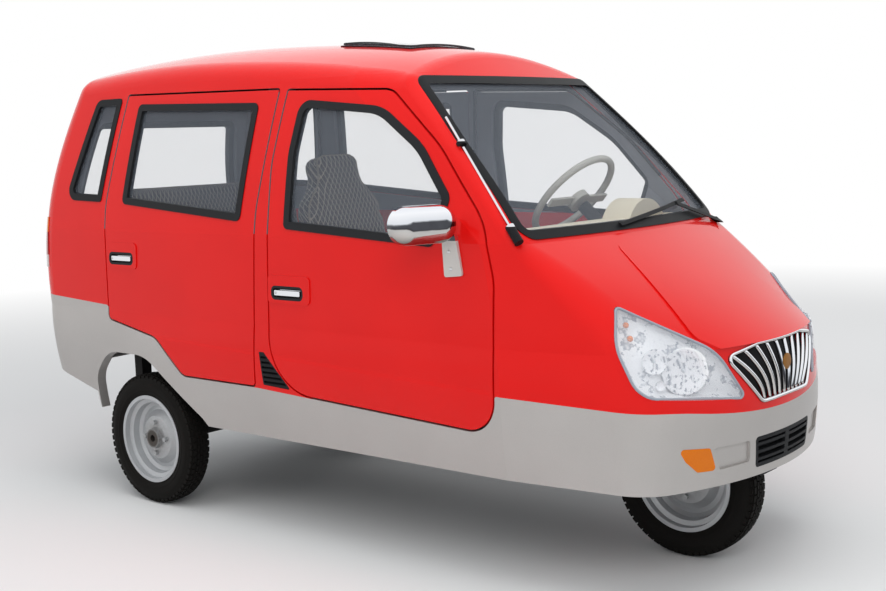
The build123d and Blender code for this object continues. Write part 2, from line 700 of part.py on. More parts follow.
with BuildPart() as rear_axle:
    with BuildSketch(Plane.XZ.offset(-AXLE_TUBE_HALF)):
        with Locations((at(0), TYRE_RADIUS)):
            Circle(AXLE_TUBE_RADIUS)
    extrude(amount=2 * AXLE_TUBE_HALF)
    with BuildSketch(Plane.XZ.offset(-REAR_WHEEL_Y - 10)):
        with Locations((at(0), TYRE_RADIUS)):
            Circle(AXLE_RADIUS)
    extrude(amount=2 * (REAR_WHEEL_Y + 10))
    with BuildSketch(Plane.XZ.offset(-DIFF_HALF)):
        with Locations((at(0), TYRE_RADIUS)):
            Circle(DIFF_RADIUS)
    extrude(amount=2 * DIFF_HALF)
    fillet(rear_axle.edges().filter_by(GeomType.CIRCLE).filter_by(lambda edge: abs(edge.radius - DIFF_RADIUS) < 1), 40)
    with BuildSketch(Plane.YZ.offset(at(DIFF_RADIUS - 20))):
        with Locations((0, TYRE_RADIUS)):
            Circle(24)
    extrude(amount=870 - DIFF_RADIUS + 20)
keep("rear_axle", rear_axle.part)

spring_seat = TYRE_RADIUS + AXLE_TUBE_RADIUS
spring_rise = RAIL_TOP - HANGER_HEIGHT - spring_seat - SPRING_LEAF * SPRING_LEAVES
with BuildPart() as leaf_springs:
    for side in (RIGHT, LEFT):
        for leaf in range(SPRING_LEAVES):
            half = SPRING_HALF * (1 - SPRING_STEP * leaf)
            middle = spring_seat + SPRING_LEAF * (SPRING_LEAVES - leaf - 1)
            ends = middle + spring_rise * (half / SPRING_HALF) ** 2
            with BuildSketch(Plane.XZ.offset(-side * SPRING_Y - SPRING_WIDTH / 2)):
                with BuildLine():
                    ThreePointArc((at(-half), ends), (at(0), middle), (at(half), ends))
                    Line((at(half), ends), (at(half), ends + SPRING_LEAF))
                    ThreePointArc((at(half), ends + SPRING_LEAF), (at(0), middle + SPRING_LEAF),
                                  (at(-half), ends + SPRING_LEAF))
                    Line((at(-half), ends + SPRING_LEAF), (at(-half), ends))
                make_face()
            extrude(amount=SPRING_WIDTH)
keep("leaf_springs", leaf_springs.part)

ENGINE_HALF = 165
ENGINE_LOW = 235
ENGINE_HIGH = 560
with BuildPart() as engine_block:
    with Locations((at((845 + 1255) / 2), 0, (ENGINE_LOW + ENGINE_HIGH) / 2)):
        Box(1255 - 845 - RAIL_WIDTH, 2 * ENGINE_HALF, ENGINE_HIGH - ENGINE_LOW)
    fillet(engine_block.edges().filter_by(Axis.Y), 30)
keep("engine_block", engine_block.part)

# ---------------------------------------------------------------- wheels
BEAD_HALF = RIM_WIDTH / 2
BEAD_RADIUS = RIM_RADIUS + 16
SIDEWALL_RADIUS = 214
SHOULDER_RADIUS = TYRE_RADIUS - TYRE_SHOULDER
SHOULDER_HALF = TYRE_WIDTH / 2 - 3
TREAD_HALF = 38
TREAD_DROP = 4
RIM_LIP = 10
RIM_LIP_THICKNESS = 3
STUD_RADIUS = 62
STUDS = 4
NUT_RADIUS = 10
NUT_BASE = 12
NUT_LENGTH = 16
# Section of the pressed rim: radius and distance out along the axle, from its hidden bead seat round.
RIM_SECTION = [
    (RIM_RADIUS, -BEAD_HALF),
    (RIM_RADIUS, BEAD_HALF),
    (RIM_RADIUS + RIM_LIP, BEAD_HALF),
    (RIM_RADIUS + RIM_LIP, BEAD_HALF + RIM_LIP_THICKNESS),
    (RIM_RADIUS - 4, BEAD_HALF + RIM_LIP_THICKNESS),
    (RIM_RADIUS - 6, 24),
    (RIM_RADIUS - 22, 18),
    (RIM_RADIUS - 26, -8),
    (RIM_RADIUS - 40, -16),
    (110, -12),
    (86, 10),
    (HUB_RADIUS + 14, 16),
    (HUB_RADIUS, 16),
    (HUB_RADIUS - 4, 34),
    (AXLE_RADIUS + FIT, 34),
    (AXLE_RADIUS + FIT, -30),
    (HUB_RADIUS, -30),
    (HUB_RADIUS + 20, 8),
    (82, 4),
    (106, -19),
    (RIM_RADIUS - 38, -22),
    (RIM_RADIUS - 20, -16),
    (RIM_RADIUS - 10, -BEAD_HALF - RIM_LIP_THICKNESS),
    (RIM_RADIUS + RIM_LIP, -BEAD_HALF - RIM_LIP_THICKNESS),
    (RIM_RADIUS + RIM_LIP, -BEAD_HALF),
]


def wheel_pieces(centre_x, centre_y, face):
    """Tyre and rim of one wheel whose dished face looks along face (+1 left, -1 right)."""
    axle_plane = Plane(origin=(centre_x, centre_y, TYRE_RADIUS), x_dir=(1, 0, 0), z_dir=(0, face, 0))
    half = TYRE_WIDTH / 2
    tread_edge = TYRE_RADIUS - TREAD_DROP
    with BuildPart() as tyre:
        with BuildSketch(Plane.XZ):
            with BuildLine():
                Polyline((BEAD_RADIUS, BEAD_HALF), (RIM_RADIUS, BEAD_HALF),
                         (RIM_RADIUS, -BEAD_HALF), (BEAD_RADIUS, -BEAD_HALF))
                ThreePointArc((BEAD_RADIUS, -BEAD_HALF), (SIDEWALL_RADIUS, -half), (SHOULDER_RADIUS, -SHOULDER_HALF))
                Line((SHOULDER_RADIUS, -SHOULDER_HALF), (tread_edge, -TREAD_HALF))
                ThreePointArc((tread_edge, -TREAD_HALF), (TYRE_RADIUS, 0), (tread_edge, TREAD_HALF))
                Line((tread_edge, TREAD_HALF), (SHOULDER_RADIUS, SHOULDER_HALF))
                ThreePointArc((SHOULDER_RADIUS, SHOULDER_HALF), (SIDEWALL_RADIUS, half), (BEAD_RADIUS, BEAD_HALF))
            make_face()
        revolve(axis=Axis.Z)
    with BuildPart() as rim:
        with BuildSketch(Plane.XZ):
            with BuildLine():
                Polyline(*RIM_SECTION, close=True)
            make_face()
        revolve(axis=Axis.Z)
        with BuildSketch(Plane.XY.offset(NUT_BASE)):
            with PolarLocations(STUD_RADIUS, STUDS):
                RegularPolygon(NUT_RADIUS, 6)
        extrude(amount=NUT_LENGTH)
    return axle_plane.location * tyre.part, axle_plane.location * rim.part


for name, centre_x, centre_y, face in (("rear_right", at(0), -REAR_WHEEL_Y, RIGHT),
                                       ("rear_left", at(0), REAR_WHEEL_Y, LEFT),
                                       ("front", FRONT_AXLE_X, 0, RIGHT)):
    tyre, rim = wheel_pieces(centre_x, centre_y, face)
    keep(f"{name}_tyre", tyre)
    keep(f"{name}_rim", rim)

# ---------------------------------------------------------------- front fork
LEG_Y = 92
LEG_RADIUS = 20
CROWN_LOW = 366
CROWN_HIGH = 388
GUARD_RADIUS = 292
GUARD_HALF = 60
GUARD_THICKNESS = 4
with BuildPart() as front_fork:
    for side in (RIGHT, LEFT):
        with BuildSketch(STEER_AXIS.offset(-30)):
            with Locations((0, side * LEG_Y)):
                Circle(LEG_RADIUS)
        extrude(amount=CROWN_LOW + 40)
    with BuildSketch(STEER_AXIS.offset(CROWN_LOW)):
        Rectangle(2 * LEG_RADIUS + 20, 2 * (LEG_Y + LEG_RADIUS) + 20)
    extrude(amount=CROWN_HIGH - CROWN_LOW)
    with BuildSketch(STEER_AXIS.offset(CROWN_HIGH)):
        Circle(STEM_RADIUS)
    extrude(amount=HEAD_HIGH - CROWN_HIGH + 30)
    with BuildSketch(Plane.XZ.offset(-LEG_Y)):
        with Locations((FRONT_AXLE_X, TYRE_RADIUS)):
            Circle(AXLE_RADIUS)
    extrude(amount=2 * LEG_Y)
keep("front_fork", front_fork.part)

with BuildPart() as front_mudguard:
    with BuildSketch(Plane.XZ.offset(-GUARD_HALF)):
        with Locations((FRONT_AXLE_X, TYRE_RADIUS)):
            Circle(GUARD_RADIUS + GUARD_THICKNESS)
            Circle(GUARD_RADIUS, mode=Mode.SUBTRACT)
            with Locations((0, -GUARD_RADIUS + 60)):
                Rectangle(3 * GUARD_RADIUS, 2 * GUARD_RADIUS, mode=Mode.SUBTRACT)
    extrude(amount=2 * GUARD_HALF)
    with BuildSketch(STEER_AXIS.offset(GUARD_RADIUS)):
        Rectangle(24, 50)
    extrude(amount=CROWN_LOW - GUARD_RADIUS)
keep("front_mudguard", front_mudguard.part)

# ---------------------------------------------------------------- cabin
DASH = [(BULKHEAD - 1, 1080), (1690, 1112), (1560, 1106), (1490, 1040), (1480, 880), (BULKHEAD - 1, 800)]
DASH_HALF = 560
DASH_ROUND = 18
HUMP_REAR = 1600
HUMP_FRONT = 1715
HUMP_Y = 330
HUMP_HALF = 130
HUMP_BASE = 1090
HUMP_TOP = 1178
with BuildPart() as dashboard:
    with BuildSketch(Plane.XZ.offset(-DASH_HALF)):
        with BuildLine():
            FilletPolyline(*[(at(station), height) for station, height in DASH], radius=DASH_ROUND, close=True)
        make_face()
    extrude(amount=2 * DASH_HALF)
    with BuildSketch(Plane.YZ.offset(at(HUMP_REAR))):
        with BuildLine():
            ThreePointArc((HUMP_Y - HUMP_HALF, HUMP_BASE), (HUMP_Y, HUMP_TOP), (HUMP_Y + HUMP_HALF, HUMP_BASE))
            Line((HUMP_Y + HUMP_HALF, HUMP_BASE), (HUMP_Y - HUMP_HALF, HUMP_BASE))
        make_face()
    extrude(amount=HUMP_FRONT - HUMP_REAR)
keep("dashboard", dashboard.part)

COLUMN_TILT = 42
STEERING_WHEEL = (at(1430), 280, 1190)
STEERING_WHEEL_RADIUS = 195
STEERING_RIM_RADIUS = 13
COLUMN_RADIUS = 24
COLUMN_LENGTH = 140
BOSS_RADIUS = 44
BOSS_DROP = 42
BOSS_HEIGHT = 26
SPOKE_WIDTH = 34
SPOKE_DROP = 30
SPOKE_THICKNESS = 10
TILT_SIN = sin(radians(COLUMN_TILT))
TILT_COS = cos(radians(COLUMN_TILT))
COLUMN = Plane(origin=STEERING_WHEEL, z_dir=(-TILT_COS, 0, TILT_SIN), x_dir=(TILT_SIN, 0, TILT_COS))
with BuildPart() as steering_column:
    with BuildSketch(COLUMN.offset(-BOSS_DROP - PADDLE_MARGIN)):
        Circle(COLUMN_RADIUS)
    extrude(amount=-COLUMN_LENGTH)
    add(dashboard.part, mode=Mode.SUBTRACT)
keep("steering_column", steering_column.part.solids().sort_by(Axis.X)[0])

rim_centre = STEERING_WHEEL_RADIUS - STEERING_RIM_RADIUS
with BuildPart() as steering_wheel:
    with BuildSketch(COLUMN * Plane.XZ):
        with Locations((rim_centre, 0)):
            Circle(STEERING_RIM_RADIUS)
    revolve(axis=Axis(COLUMN.origin, COLUMN.z_dir))
    with BuildSketch(COLUMN.offset(-BOSS_DROP)):
        Circle(BOSS_RADIUS)
    extrude(amount=BOSS_HEIGHT)
    with BuildSketch(COLUMN.offset(-SPOKE_DROP)):
        Rectangle(SPOKE_WIDTH, 2 * rim_centre)
    extrude(amount=SPOKE_THICKNESS)
keep("steering_wheel", steering_wheel.part)

SEAT_Y = 300
SEAT_HALF = 238
CUSHION_REAR = 820
CUSHION_FRONT = 1320
CUSHION_TOP = 715
CUSHION_ROUND = 34
BACK_FOOT = (at(868), CUSHION_TOP - 60)
BACK_TILT = 11
BACK_THICKNESS = 96
# Outline of each front seat's backrest: half width and distance up the tilted back.
HIGH_BACK = [(228, 0), (222, 420), (206, 560), (132, 640), (118, 745)]
LOW_BACK = [(228, 0), (222, 380), (196, 492)]


def seat_cushion(rear, front, half, middle_y, low, high):
    """Padded seat cushion with its upper edges rounded."""
    with BuildPart() as cushion:
        with Locations((at((rear + front) / 2), middle_y, (low + high) / 2)):
            Box(front - rear, 2 * half, high - low)
        fillet(cushion.edges().filter_by(Axis.Z), CUSHION_ROUND)
        fillet(cushion.faces().sort_by(Axis.Z)[-1].edges(), CUSHION_ROUND - 4)
    return cushion.part


def seat_back(outline, foot, tilt, thickness, middle_y):
    """Padded backrest from its outline, leant back by tilt from a foot point."""
    lean = Plane(origin=(foot[0], middle_y, foot[1]), x_dir=(0, 1, 0), z_dir=(cos(radians(tilt)), 0, sin(radians(tilt))))
    with BuildPart() as back:
        with BuildSketch(lean.offset(-thickness / 2)):
            with BuildLine():
                FilletPolyline(*outline, *[(-across, up) for across, up in reversed(outline)],
                               radius=CUSHION_ROUND, close=True)
            make_face()
        extrude(amount=thickness)
        fillet(back.faces().sort_by(Axis.X)[-1].edges(), CUSHION_ROUND - 8)
    return back.part


front_seats = Part()
for side, outline in ((RIGHT, HIGH_BACK), (LEFT, LOW_BACK)):
    front_seats += seat_cushion(CUSHION_REAR, CUSHION_FRONT, SEAT_HALF, side * SEAT_Y, SEAT_BOX_TOP, CUSHION_TOP)
    front_seats += seat_back(outline, BACK_FOOT, BACK_TILT, BACK_THICKNESS, side * SEAT_Y)
keep("front_seats", front_seats)

BENCH_FRONT = 320
BENCH_REAR = -230
BENCH_HALF = 550
BENCH_THICKNESS = 160
BENCH_BACK = [(520, 0), (505, 640)]
BENCH_BACK_FOOT = (at(-225), DECK_TOP + 20)
bench_cushion = seat_cushion(BENCH_REAR, BENCH_FRONT, BENCH_HALF, 0, DECK_TOP, DECK_TOP + BENCH_THICKNESS)
keep("rear_bench", bench_cushion + seat_back(BENCH_BACK, BENCH_BACK_FOOT, BACK_TILT, BACK_THICKNESS, 0))

# ---------------------------------------------------------------- mirrors
MIRROR_CENTRE = (at(1566), -768, 1159)
MIRROR_LENGTH = 112
MIRROR_RADIUS = 60
MIRROR_SWEEP = 20
MIRROR_DEPTH = 68
MIRROR_ROUND = 48
# Side view of the bracket that carries the mirror on the door.
BRACKET = [(at(1567), 985), (at(1640), 992), (at(1613), 1120), (at(1560), 1120)]
BRACKET_OUTER_Y = -658
BRACKET_ROUND = 8
BRACKET_DEPTH = 40
ARM_MIDDLE = (at(1582), -676, 1118)
ARM_SIZE = (52, 48, 6)
with BuildPart() as mirror_head:
    with BuildSketch(Plane.YZ):
        RectangleRounded(2 * MIRROR_LENGTH, 2 * MIRROR_RADIUS, MIRROR_RADIUS - 3)
    extrude(amount=MIRROR_DEPTH)
    fillet(mirror_head.faces().sort_by(Axis.X)[-1].edges(), MIRROR_ROUND)
with BuildPart() as mirror_bracket:
    with BuildSketch(Plane.XZ.offset(-BRACKET_OUTER_Y)):
        with BuildLine():
            FilletPolyline(*BRACKET, radius=BRACKET_ROUND, close=True)
        make_face()
    extrude(amount=-BRACKET_DEPTH)
    with Locations(ARM_MIDDLE):
        Box(*ARM_SIZE)
    add(OUTER, mode=Mode.SUBTRACT)
mirror_part = mirror_bracket.part + Location(MIRROR_CENTRE, (0, 0, -MIRROR_SWEEP)) * mirror_head.part
keep("mirror_right", mirror_part)
keep("mirror_left", mirror(mirror_part, Plane.XZ))

# ---------------------------------------------------------------- antenna and wiper
ANTENNA_FOOT = (at(1838), -624, 1098)
ANTENNA_TIP = (at(1496), -539, 1486)
ANTENNA_RADIUS = 4
ANTENNA_BASE_RADIUS = 15
ANTENNA_BASE_LENGTH = 66
ANTENNA_CLIP_UP = 400
ANTENNA_CLIP_LENGTH = 16
antenna_run = Vector(*ANTENNA_TIP) - Vector(*ANTENNA_FOOT)
ANTENNA_AXIS = Plane(origin=ANTENNA_FOOT, z_dir=antenna_run)
with BuildPart() as antenna:
    with BuildSketch(ANTENNA_AXIS):
        Circle(ANTENNA_RADIUS)
    extrude(amount=antenna_run.length)
    with BuildSketch(ANTENNA_AXIS):
        Circle(ANTENNA_BASE_RADIUS)
    extrude(amount=ANTENNA_BASE_LENGTH)
    with BuildSketch(ANTENNA_AXIS.offset(ANTENNA_CLIP_UP)):
        Circle(ANTENNA_BASE_RADIUS)
    extrude(amount=ANTENNA_CLIP_LENGTH)
    add(OUTER, mode=Mode.SUBTRACT)
    add(windscreen_seal, mode=Mode.SUBTRACT)
keep("antenna", antenna.part)

# The wiper in end view: ends of the blade, ends of the arm, and the pivot below the windscreen.
WIPER_BLADE = [(-140, 1122), (390, 1172)]
WIPER_ARM = [(300, 1163), (560, 1088)]
WIPER_BLADE_WIDTH = 10
WIPER_ARM_WIDTH = 14
WIPER_PIVOT_RADIUS = 11
WIPER_BLADE_LIFT = 6
WIPER_ARM_LIFT = 14
WIPER_TOP = 22


def wiper_strip(ends, width, low, high):
    """Strip between two points of the end view, following the windscreen low to high ahead of it."""
    with BuildPart() as strip:
        with BuildSketch(Plane.YZ.offset(WINDSCREEN_START)):
            with BuildLine():
                Line(*ends)
            trace(line_width=width)
        extrude(amount=BIG)
    return strip.part & (Pos(high, 0, 0) * PROUD - Pos(low, 0, 0) * PROUD)


with BuildPart() as wiper_pivot:
    with BuildSketch(Plane.YZ.offset(WINDSCREEN_START)):
        with Locations(WIPER_ARM[1]):
            Circle(WIPER_PIVOT_RADIUS)
    extrude(amount=BIG)
wiper = wiper_strip(WIPER_BLADE, WIPER_BLADE_WIDTH, WIPER_BLADE_LIFT, WIPER_ARM_LIFT)
wiper += wiper_strip(WIPER_ARM, WIPER_ARM_WIDTH, WIPER_ARM_LIFT - 1, WIPER_TOP)
wiper += wiper_pivot.part & (Pos(WIPER_TOP, 0, 0) * PROUD - OUTER)
wiper -= windscreen_seal
keep("wiper", wiper)
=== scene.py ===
# %% [markdown]
# # Dressing a small three-wheeled car
# The packed CAD model is the fixed frame: its panels, glass, wheels and joints are already in
# place. This lesson gives every part the finish of the real thing, and adds the pieces that are
# too fine or too soft for the CAD solids: tread blocks, grille bars, lamp reflectors, seat covers.

# %% Load the frame
import json
import math

import bmesh
import bpy
import numpy as np
from mathutils import Matrix, Vector
from mathutils.bvhtree import BVHTree


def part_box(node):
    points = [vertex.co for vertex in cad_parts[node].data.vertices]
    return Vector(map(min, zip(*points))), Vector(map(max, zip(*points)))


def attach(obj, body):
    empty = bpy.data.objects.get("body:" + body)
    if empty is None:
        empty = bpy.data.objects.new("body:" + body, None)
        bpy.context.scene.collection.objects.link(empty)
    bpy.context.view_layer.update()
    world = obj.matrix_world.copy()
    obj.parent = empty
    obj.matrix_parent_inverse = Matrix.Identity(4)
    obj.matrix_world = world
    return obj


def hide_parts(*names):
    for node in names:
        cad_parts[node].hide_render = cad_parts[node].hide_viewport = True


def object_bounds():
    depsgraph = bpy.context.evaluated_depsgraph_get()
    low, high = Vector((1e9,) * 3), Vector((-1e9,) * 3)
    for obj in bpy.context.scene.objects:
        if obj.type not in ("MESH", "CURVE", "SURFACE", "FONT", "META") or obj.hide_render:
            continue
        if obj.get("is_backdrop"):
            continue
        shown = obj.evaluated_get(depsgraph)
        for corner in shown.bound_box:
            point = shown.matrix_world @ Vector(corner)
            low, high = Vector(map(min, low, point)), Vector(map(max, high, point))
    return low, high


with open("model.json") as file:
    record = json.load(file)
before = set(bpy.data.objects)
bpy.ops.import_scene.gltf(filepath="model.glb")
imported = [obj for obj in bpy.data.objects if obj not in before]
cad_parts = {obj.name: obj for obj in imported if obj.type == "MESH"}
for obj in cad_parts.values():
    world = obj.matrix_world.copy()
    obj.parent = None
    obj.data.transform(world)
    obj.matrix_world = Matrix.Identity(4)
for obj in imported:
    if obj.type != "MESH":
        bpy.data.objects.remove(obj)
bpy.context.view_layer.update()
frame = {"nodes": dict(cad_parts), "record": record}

# %% [markdown]
# ## Stations
# X points forward, Y to the car's left and Z up. Places along the car are easiest to read from
# the rear axle, so they are given as stations, and one function turns a station into X.

# %% Stations and sides
REAR_AXLE_X = -0.8475
WHEELBASE = 2.060
TYRE_RADIUS = 0.262
SIDES = ((-1, "right"), (1, "left"))


def at(station):
    """X of a station measured forward from the rear axle."""
    return REAR_AXLE_X + station


print("front axle at X", round(at(WHEELBASE), 4))

# %% [markdown]
# ## Camera
# The camera stands ahead of the car on its right, a little below eye level, and is turned by three
# angles: yaw about the vertical, pitch below the horizon and a slight roll.

# %% Camera
IMAGE_WIDTH = 886
FOCAL_PIXELS = 1288.6
SENSOR_WIDTH = 36.0
CAMERA_PLACE = (3.2985, -3.758, 1.427)
YAW, PITCH, ROLL = (math.radians(angle) for angle in (129.84, -7.06, -1.83))
CLIP_END = 200

forward = Vector((math.cos(YAW) * math.cos(PITCH),
                  math.sin(YAW) * math.cos(PITCH), math.sin(PITCH)))
level_right = Vector((math.sin(YAW), -math.cos(YAW), 0))
level_up = level_right.cross(forward)
right = level_right * math.cos(ROLL) + level_up * math.sin(ROLL)
up = level_up * math.cos(ROLL) - level_right * math.sin(ROLL)
turned = Matrix((right, up, -forward)).transposed().to_4x4()

scene = bpy.context.scene
camera = bpy.data.objects.new("camera", bpy.data.cameras.new("camera"))
scene.collection.objects.link(camera)
camera.matrix_world = Matrix.Translation(CAMERA_PLACE) @ turned
camera.data.sensor_width = SENSOR_WIDTH
camera.data.lens = FOCAL_PIXELS / IMAGE_WIDTH * SENSOR_WIDTH
camera.data.clip_end = CLIP_END
bpy.context.scene.camera = camera
print("lens, mm:", round(camera.data.lens, 1))

# %% [markdown]
# ## Shader maths in Python
# A material is a tree of nodes. Wiring one Math node for every plus sign hides the idea, so a small
# class wraps an output socket and overloads the operators: `1 - mask * 0.5` then builds the nodes.
# A second class holds one tree. Its `node` method adds any other node, and the short methods under
# it, such as noise and bump, are the few nodes that nearly every finish here needs.

# %% Wrapped sockets
class Wire:
    """An output socket that can be added, multiplied and compared like a number."""

    def __init__(self, finish, socket):
        self.finish = finish
        self.socket = socket

    def maths(self, operation, other, swapped=False):
        first, second = (other, self) if swapped else (self, other)
        return self.finish.node("ShaderNodeMath", {"operation": operation}, {0: first, 1: second})

    def __add__(self, other):
        return self.maths("ADD", other)

    __radd__ = __add__

    def __sub__(self, other):
        return self.maths("SUBTRACT", other)

    def __rsub__(self, other):
        return self.maths("SUBTRACT", other, swapped=True)

    def __mul__(self, other):
        return self.maths("MULTIPLY", other)

    __rmul__ = __mul__

    def __truediv__(self, other):
        return self.maths("DIVIDE", other)

    def __gt__(self, other):
        return self.maths("GREATER_THAN", other)

    def __lt__(self, other):
        return self.maths("LESS_THAN", other)

    def __mod__(self, other):
        return self.maths("FLOORED_MODULO", other)

    def power(self, exponent):
        return self.maths("POWER", exponent)

    def most(self, other):
        return self.maths("MAXIMUM", other)

    def least(self, other):
        return self.maths("MINIMUM", other)

    def distance(self):
        """The size of the number, without its sign."""
        return self.maths("ABSOLUTE", 0)

    def ribbed(self):
        """A number that climbs to 1 and falls back to 0 again and again, as ribs do."""
        return self.maths("PINGPONG", 1.0)


print("named sums:", [name for name in vars(Wire) if not name.startswith("_")])

# %% One tree of nodes
SHINE = 0.1             # how much every surface mirrors, before its coat
COAT_INDEX = 1.22       # a low index keeps clear coats from washing out the colour under them
NOISE_ROUGHNESS = 0.55


class Finish:
    """One material, or the world, and its node tree."""

    def __init__(self, name, owners=bpy.data.materials):
        self.owner = owners.new(name)
        self.owner.use_nodes = True
        self.tree = self.owner.node_tree
        self.tree.nodes.clear()

    def node(self, kind, settings=None, inputs=None, output=0):
        """Add a node: its settings first, then the values or links of its sockets."""
        made = self.tree.nodes.new(kind)
        for name, value in (settings or {}).items():
            if name == "stops":
                set_stops(made.color_ramp, value)
            else:
                setattr(made, name, value)
        for name, value in (inputs or {}).items():
            if isinstance(value, Wire):
                self.tree.links.new(value.socket, made.inputs[name])
            else:
                made.inputs[name].default_value = value
        return Wire(self, made.outputs[output]) if made.outputs else None

    def place(self):
        """Object coordinates, which are the car's own coordinates in metres."""
        return self.node("ShaderNodeTexCoord", output="Object")

    def axes(self, vector):
        """The three numbers of a vector."""
        split = self.node("ShaderNodeSeparateXYZ", inputs={0: vector}).socket.node
        return [Wire(self, socket) for socket in split.outputs]

    def noise(self, size, detail=3):
        """Soft random value whose features are about size metres across."""
        return self.node("ShaderNodeTexNoise", inputs={
            "Vector": self.place(), "Scale": 1 / size, "Detail": detail,
            "Roughness": NOISE_ROUGHNESS})

    def ramp(self, value, stops):
        """A value turned into a colour, from a list of (position, colour)."""
        return self.node("ShaderNodeValToRGB", {"stops": stops}, {0: value})

    def blend(self, first, second, factor):
        """Two colours mixed."""
        return self.node("ShaderNodeMix", {"data_type": "RGBA"},
                         {0: factor, 6: first, 7: second}, 2)

    def bump(self, height, depth):
        """Surface relief from a height between 0 and 1, depth metres deep."""
        return self.node("ShaderNodeBump", inputs={
            "Strength": 1.0, "Distance": depth, "Height": height})

    def surface(self, **sockets):
        """Principled shader with its sockets given by name, and the material it finishes."""
        named = {"Specular IOR Level": SHINE, "Coat IOR": COAT_INDEX}
        named.update({name.replace("_", " "): value for name, value in sockets.items()})
        shader = self.node("ShaderNodeBsdfPrincipled", inputs=named)
        self.node("ShaderNodeOutputMaterial", inputs={0: shader})
        return self.owner


def set_stops(ramp, stops):
    """Give a colour ramp its (position, colour) stops."""
    while len(ramp.elements) < len(stops):
        ramp.elements.new(1)
    for element, (position, colour) in zip(ramp.elements, stops):
        element.position = position
        element.color = colour


def linear(channel):
    """One screen channel, 0 to 1, as linear light."""
    return channel / 12.92 if channel <= 0.04045 else ((channel + 0.055) / 1.055) ** 2.4


def tone(red, green, blue):
    """A colour as it looks on a screen, 0 to 255, turned into the linear values of a shader."""
    return tuple(linear(channel / 255) for channel in (red, green, blue)) + (1,)


print("mid grey is", round(tone(128, 128, 128)[0], 3), "in linear light")

# %% [markdown]
# ## Floor, backdrop and light
# A car is seen through what it reflects, so the surroundings are as plain as a studio: a pale floor
# that fades to white. The white is a glow that only the camera, reflections and glass may see, so
# it never adds light to the car, and the floor near the car stays matt and keeps its shadow.

# %% Floor
WHITE = (1, 1, 1, 1)
FLOOR_RADIUS = 40.0
FADE_START, FADE_END = 3.0, 9.0


def new_object(name, vertices, faces):
    """A mesh object in the scene from plain lists."""
    mesh = bpy.data.meshes.new(name)
    mesh.from_pydata([tuple(v) for v in vertices], [], faces)
    mesh.update()
    made = bpy.data.objects.new(name, mesh)
    bpy.context.scene.collection.objects.link(made)
    return made


def seen(finish):
    """1 for rays from the camera, in a reflection or through glass; 0 for light on the car."""
    rays = finish.node("ShaderNodeLightPath").socket.node.outputs
    camera_ray, glossy_ray, glass_ray = (
        Wire(finish, rays[f"Is {kind} Ray"]) for kind in ("Camera", "Glossy", "Transmission"))
    return (camera_ray + glossy_ray + glass_ray).least(1)


corners = [(FLOOR_RADIUS * x, FLOOR_RADIUS * y, 0) for x, y in ((-1, -1), (1, -1), (1, 1), (-1, 1))]
floor = new_object("floor", corners, [(0, 1, 2, 3)])

paper = Finish("floor_paper")
x, y, z = paper.axes(paper.place())
away = ((x * x + y * y).power(0.5) - FADE_START) / (FADE_END - FADE_START)
fade = away.most(0).least(1)
grain = paper.noise(0.004, detail=2)
matt = paper.node("ShaderNodeBsdfDiffuse", inputs={
    "Color": paper.blend(tone(232, 232, 231), tone(238, 238, 237), grain)})
glow = paper.node("ShaderNodeEmission", inputs={"Color": WHITE, "Strength": 1.0})
mixed = paper.node("ShaderNodeMixShader", inputs={0: fade * seen(paper), 1: matt, 2: glow})
paper.node("ShaderNodeOutputMaterial", inputs={0: mixed})
floor.data.materials.append(paper.owner)
floor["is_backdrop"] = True
print("floor fades to white between", FADE_START, "and", FADE_END, "m")

# %% [markdown]
# The world is white to look at and a weaker, slightly cool fill as light. The same `seen` switch
# tells the two apart.

# %% World
WORLD_FILL = 0.55
FILL_COLOUR = (0.93, 0.96, 1, 1)

scene.view_settings.view_transform = "Standard"
studio = Finish("studio", bpy.data.worlds)
scene.world = studio.owner
fill = studio.node("ShaderNodeBackground", inputs={"Color": FILL_COLOUR, "Strength": WORLD_FILL})
white = studio.node("ShaderNodeBackground", inputs={"Color": WHITE, "Strength": 1.0})
mixed = studio.node("ShaderNodeMixShader", inputs={0: seen(studio), 1: fill, 2: white})
studio.node("ShaderNodeOutputWorld", inputs={0: mixed})
print("world fill", WORLD_FILL)

# %% [markdown]
# Four large soft lamps give the paint its long quiet shading. They are hidden from reflections,
# because a pale patch mirrored in red paint makes it pink.

# %% Lamps
LAMPS = {
    # name: (place, aimed at, width, depth, watts)
    "overhead": ((0.6, -0.8, 4.6), (0, 0, 0.8), 5.0, 4.0, 105),
    "key": ((3.6, -3.6, 3.4), (0.4, 0, 0.8), 3.0, 2.0, 72),
    "side": ((-2.6, -4.6, 2.6), (-0.2, 0, 0.8), 3.5, 1.8, 26),
    "far_side": ((0.5, 4.8, 3.0), (0, 0, 0.8), 4.0, 2.0, 30),
}
for name, (place, target, width, depth, watts) in LAMPS.items():
    light = bpy.data.lights.new(name, "AREA")
    light.shape = "RECTANGLE"
    light.size = width
    light.size_y = depth
    light.energy = watts
    lamp = bpy.data.objects.new(name, light)
    scene.collection.objects.link(lamp)
    lamp.location = place
    lamp.visible_glossy = False
    lamp.rotation_euler = (Vector(target) - Vector(place)).to_track_quat("-Z", "Y").to_euler()
print(len(LAMPS), "soft lamps")

# %% [markdown]
# ## Paint
# Car paint is a coloured base under a clear coat. The base carries the colour and a very fine
# mottle, and the coat the mirror-like shine, so the two get separate roughness. The side frames,
# roof, doors and tailgate are one solid each, painted outside and lined with grey cloth inside, so
# their paint looks at which way a face is turned to tell the two apart.

# %% Red paint
RED_ROUGHNESS = 0.42
COAT_ROUGHNESS = 0.03
PEEL_SHARE = 0.015
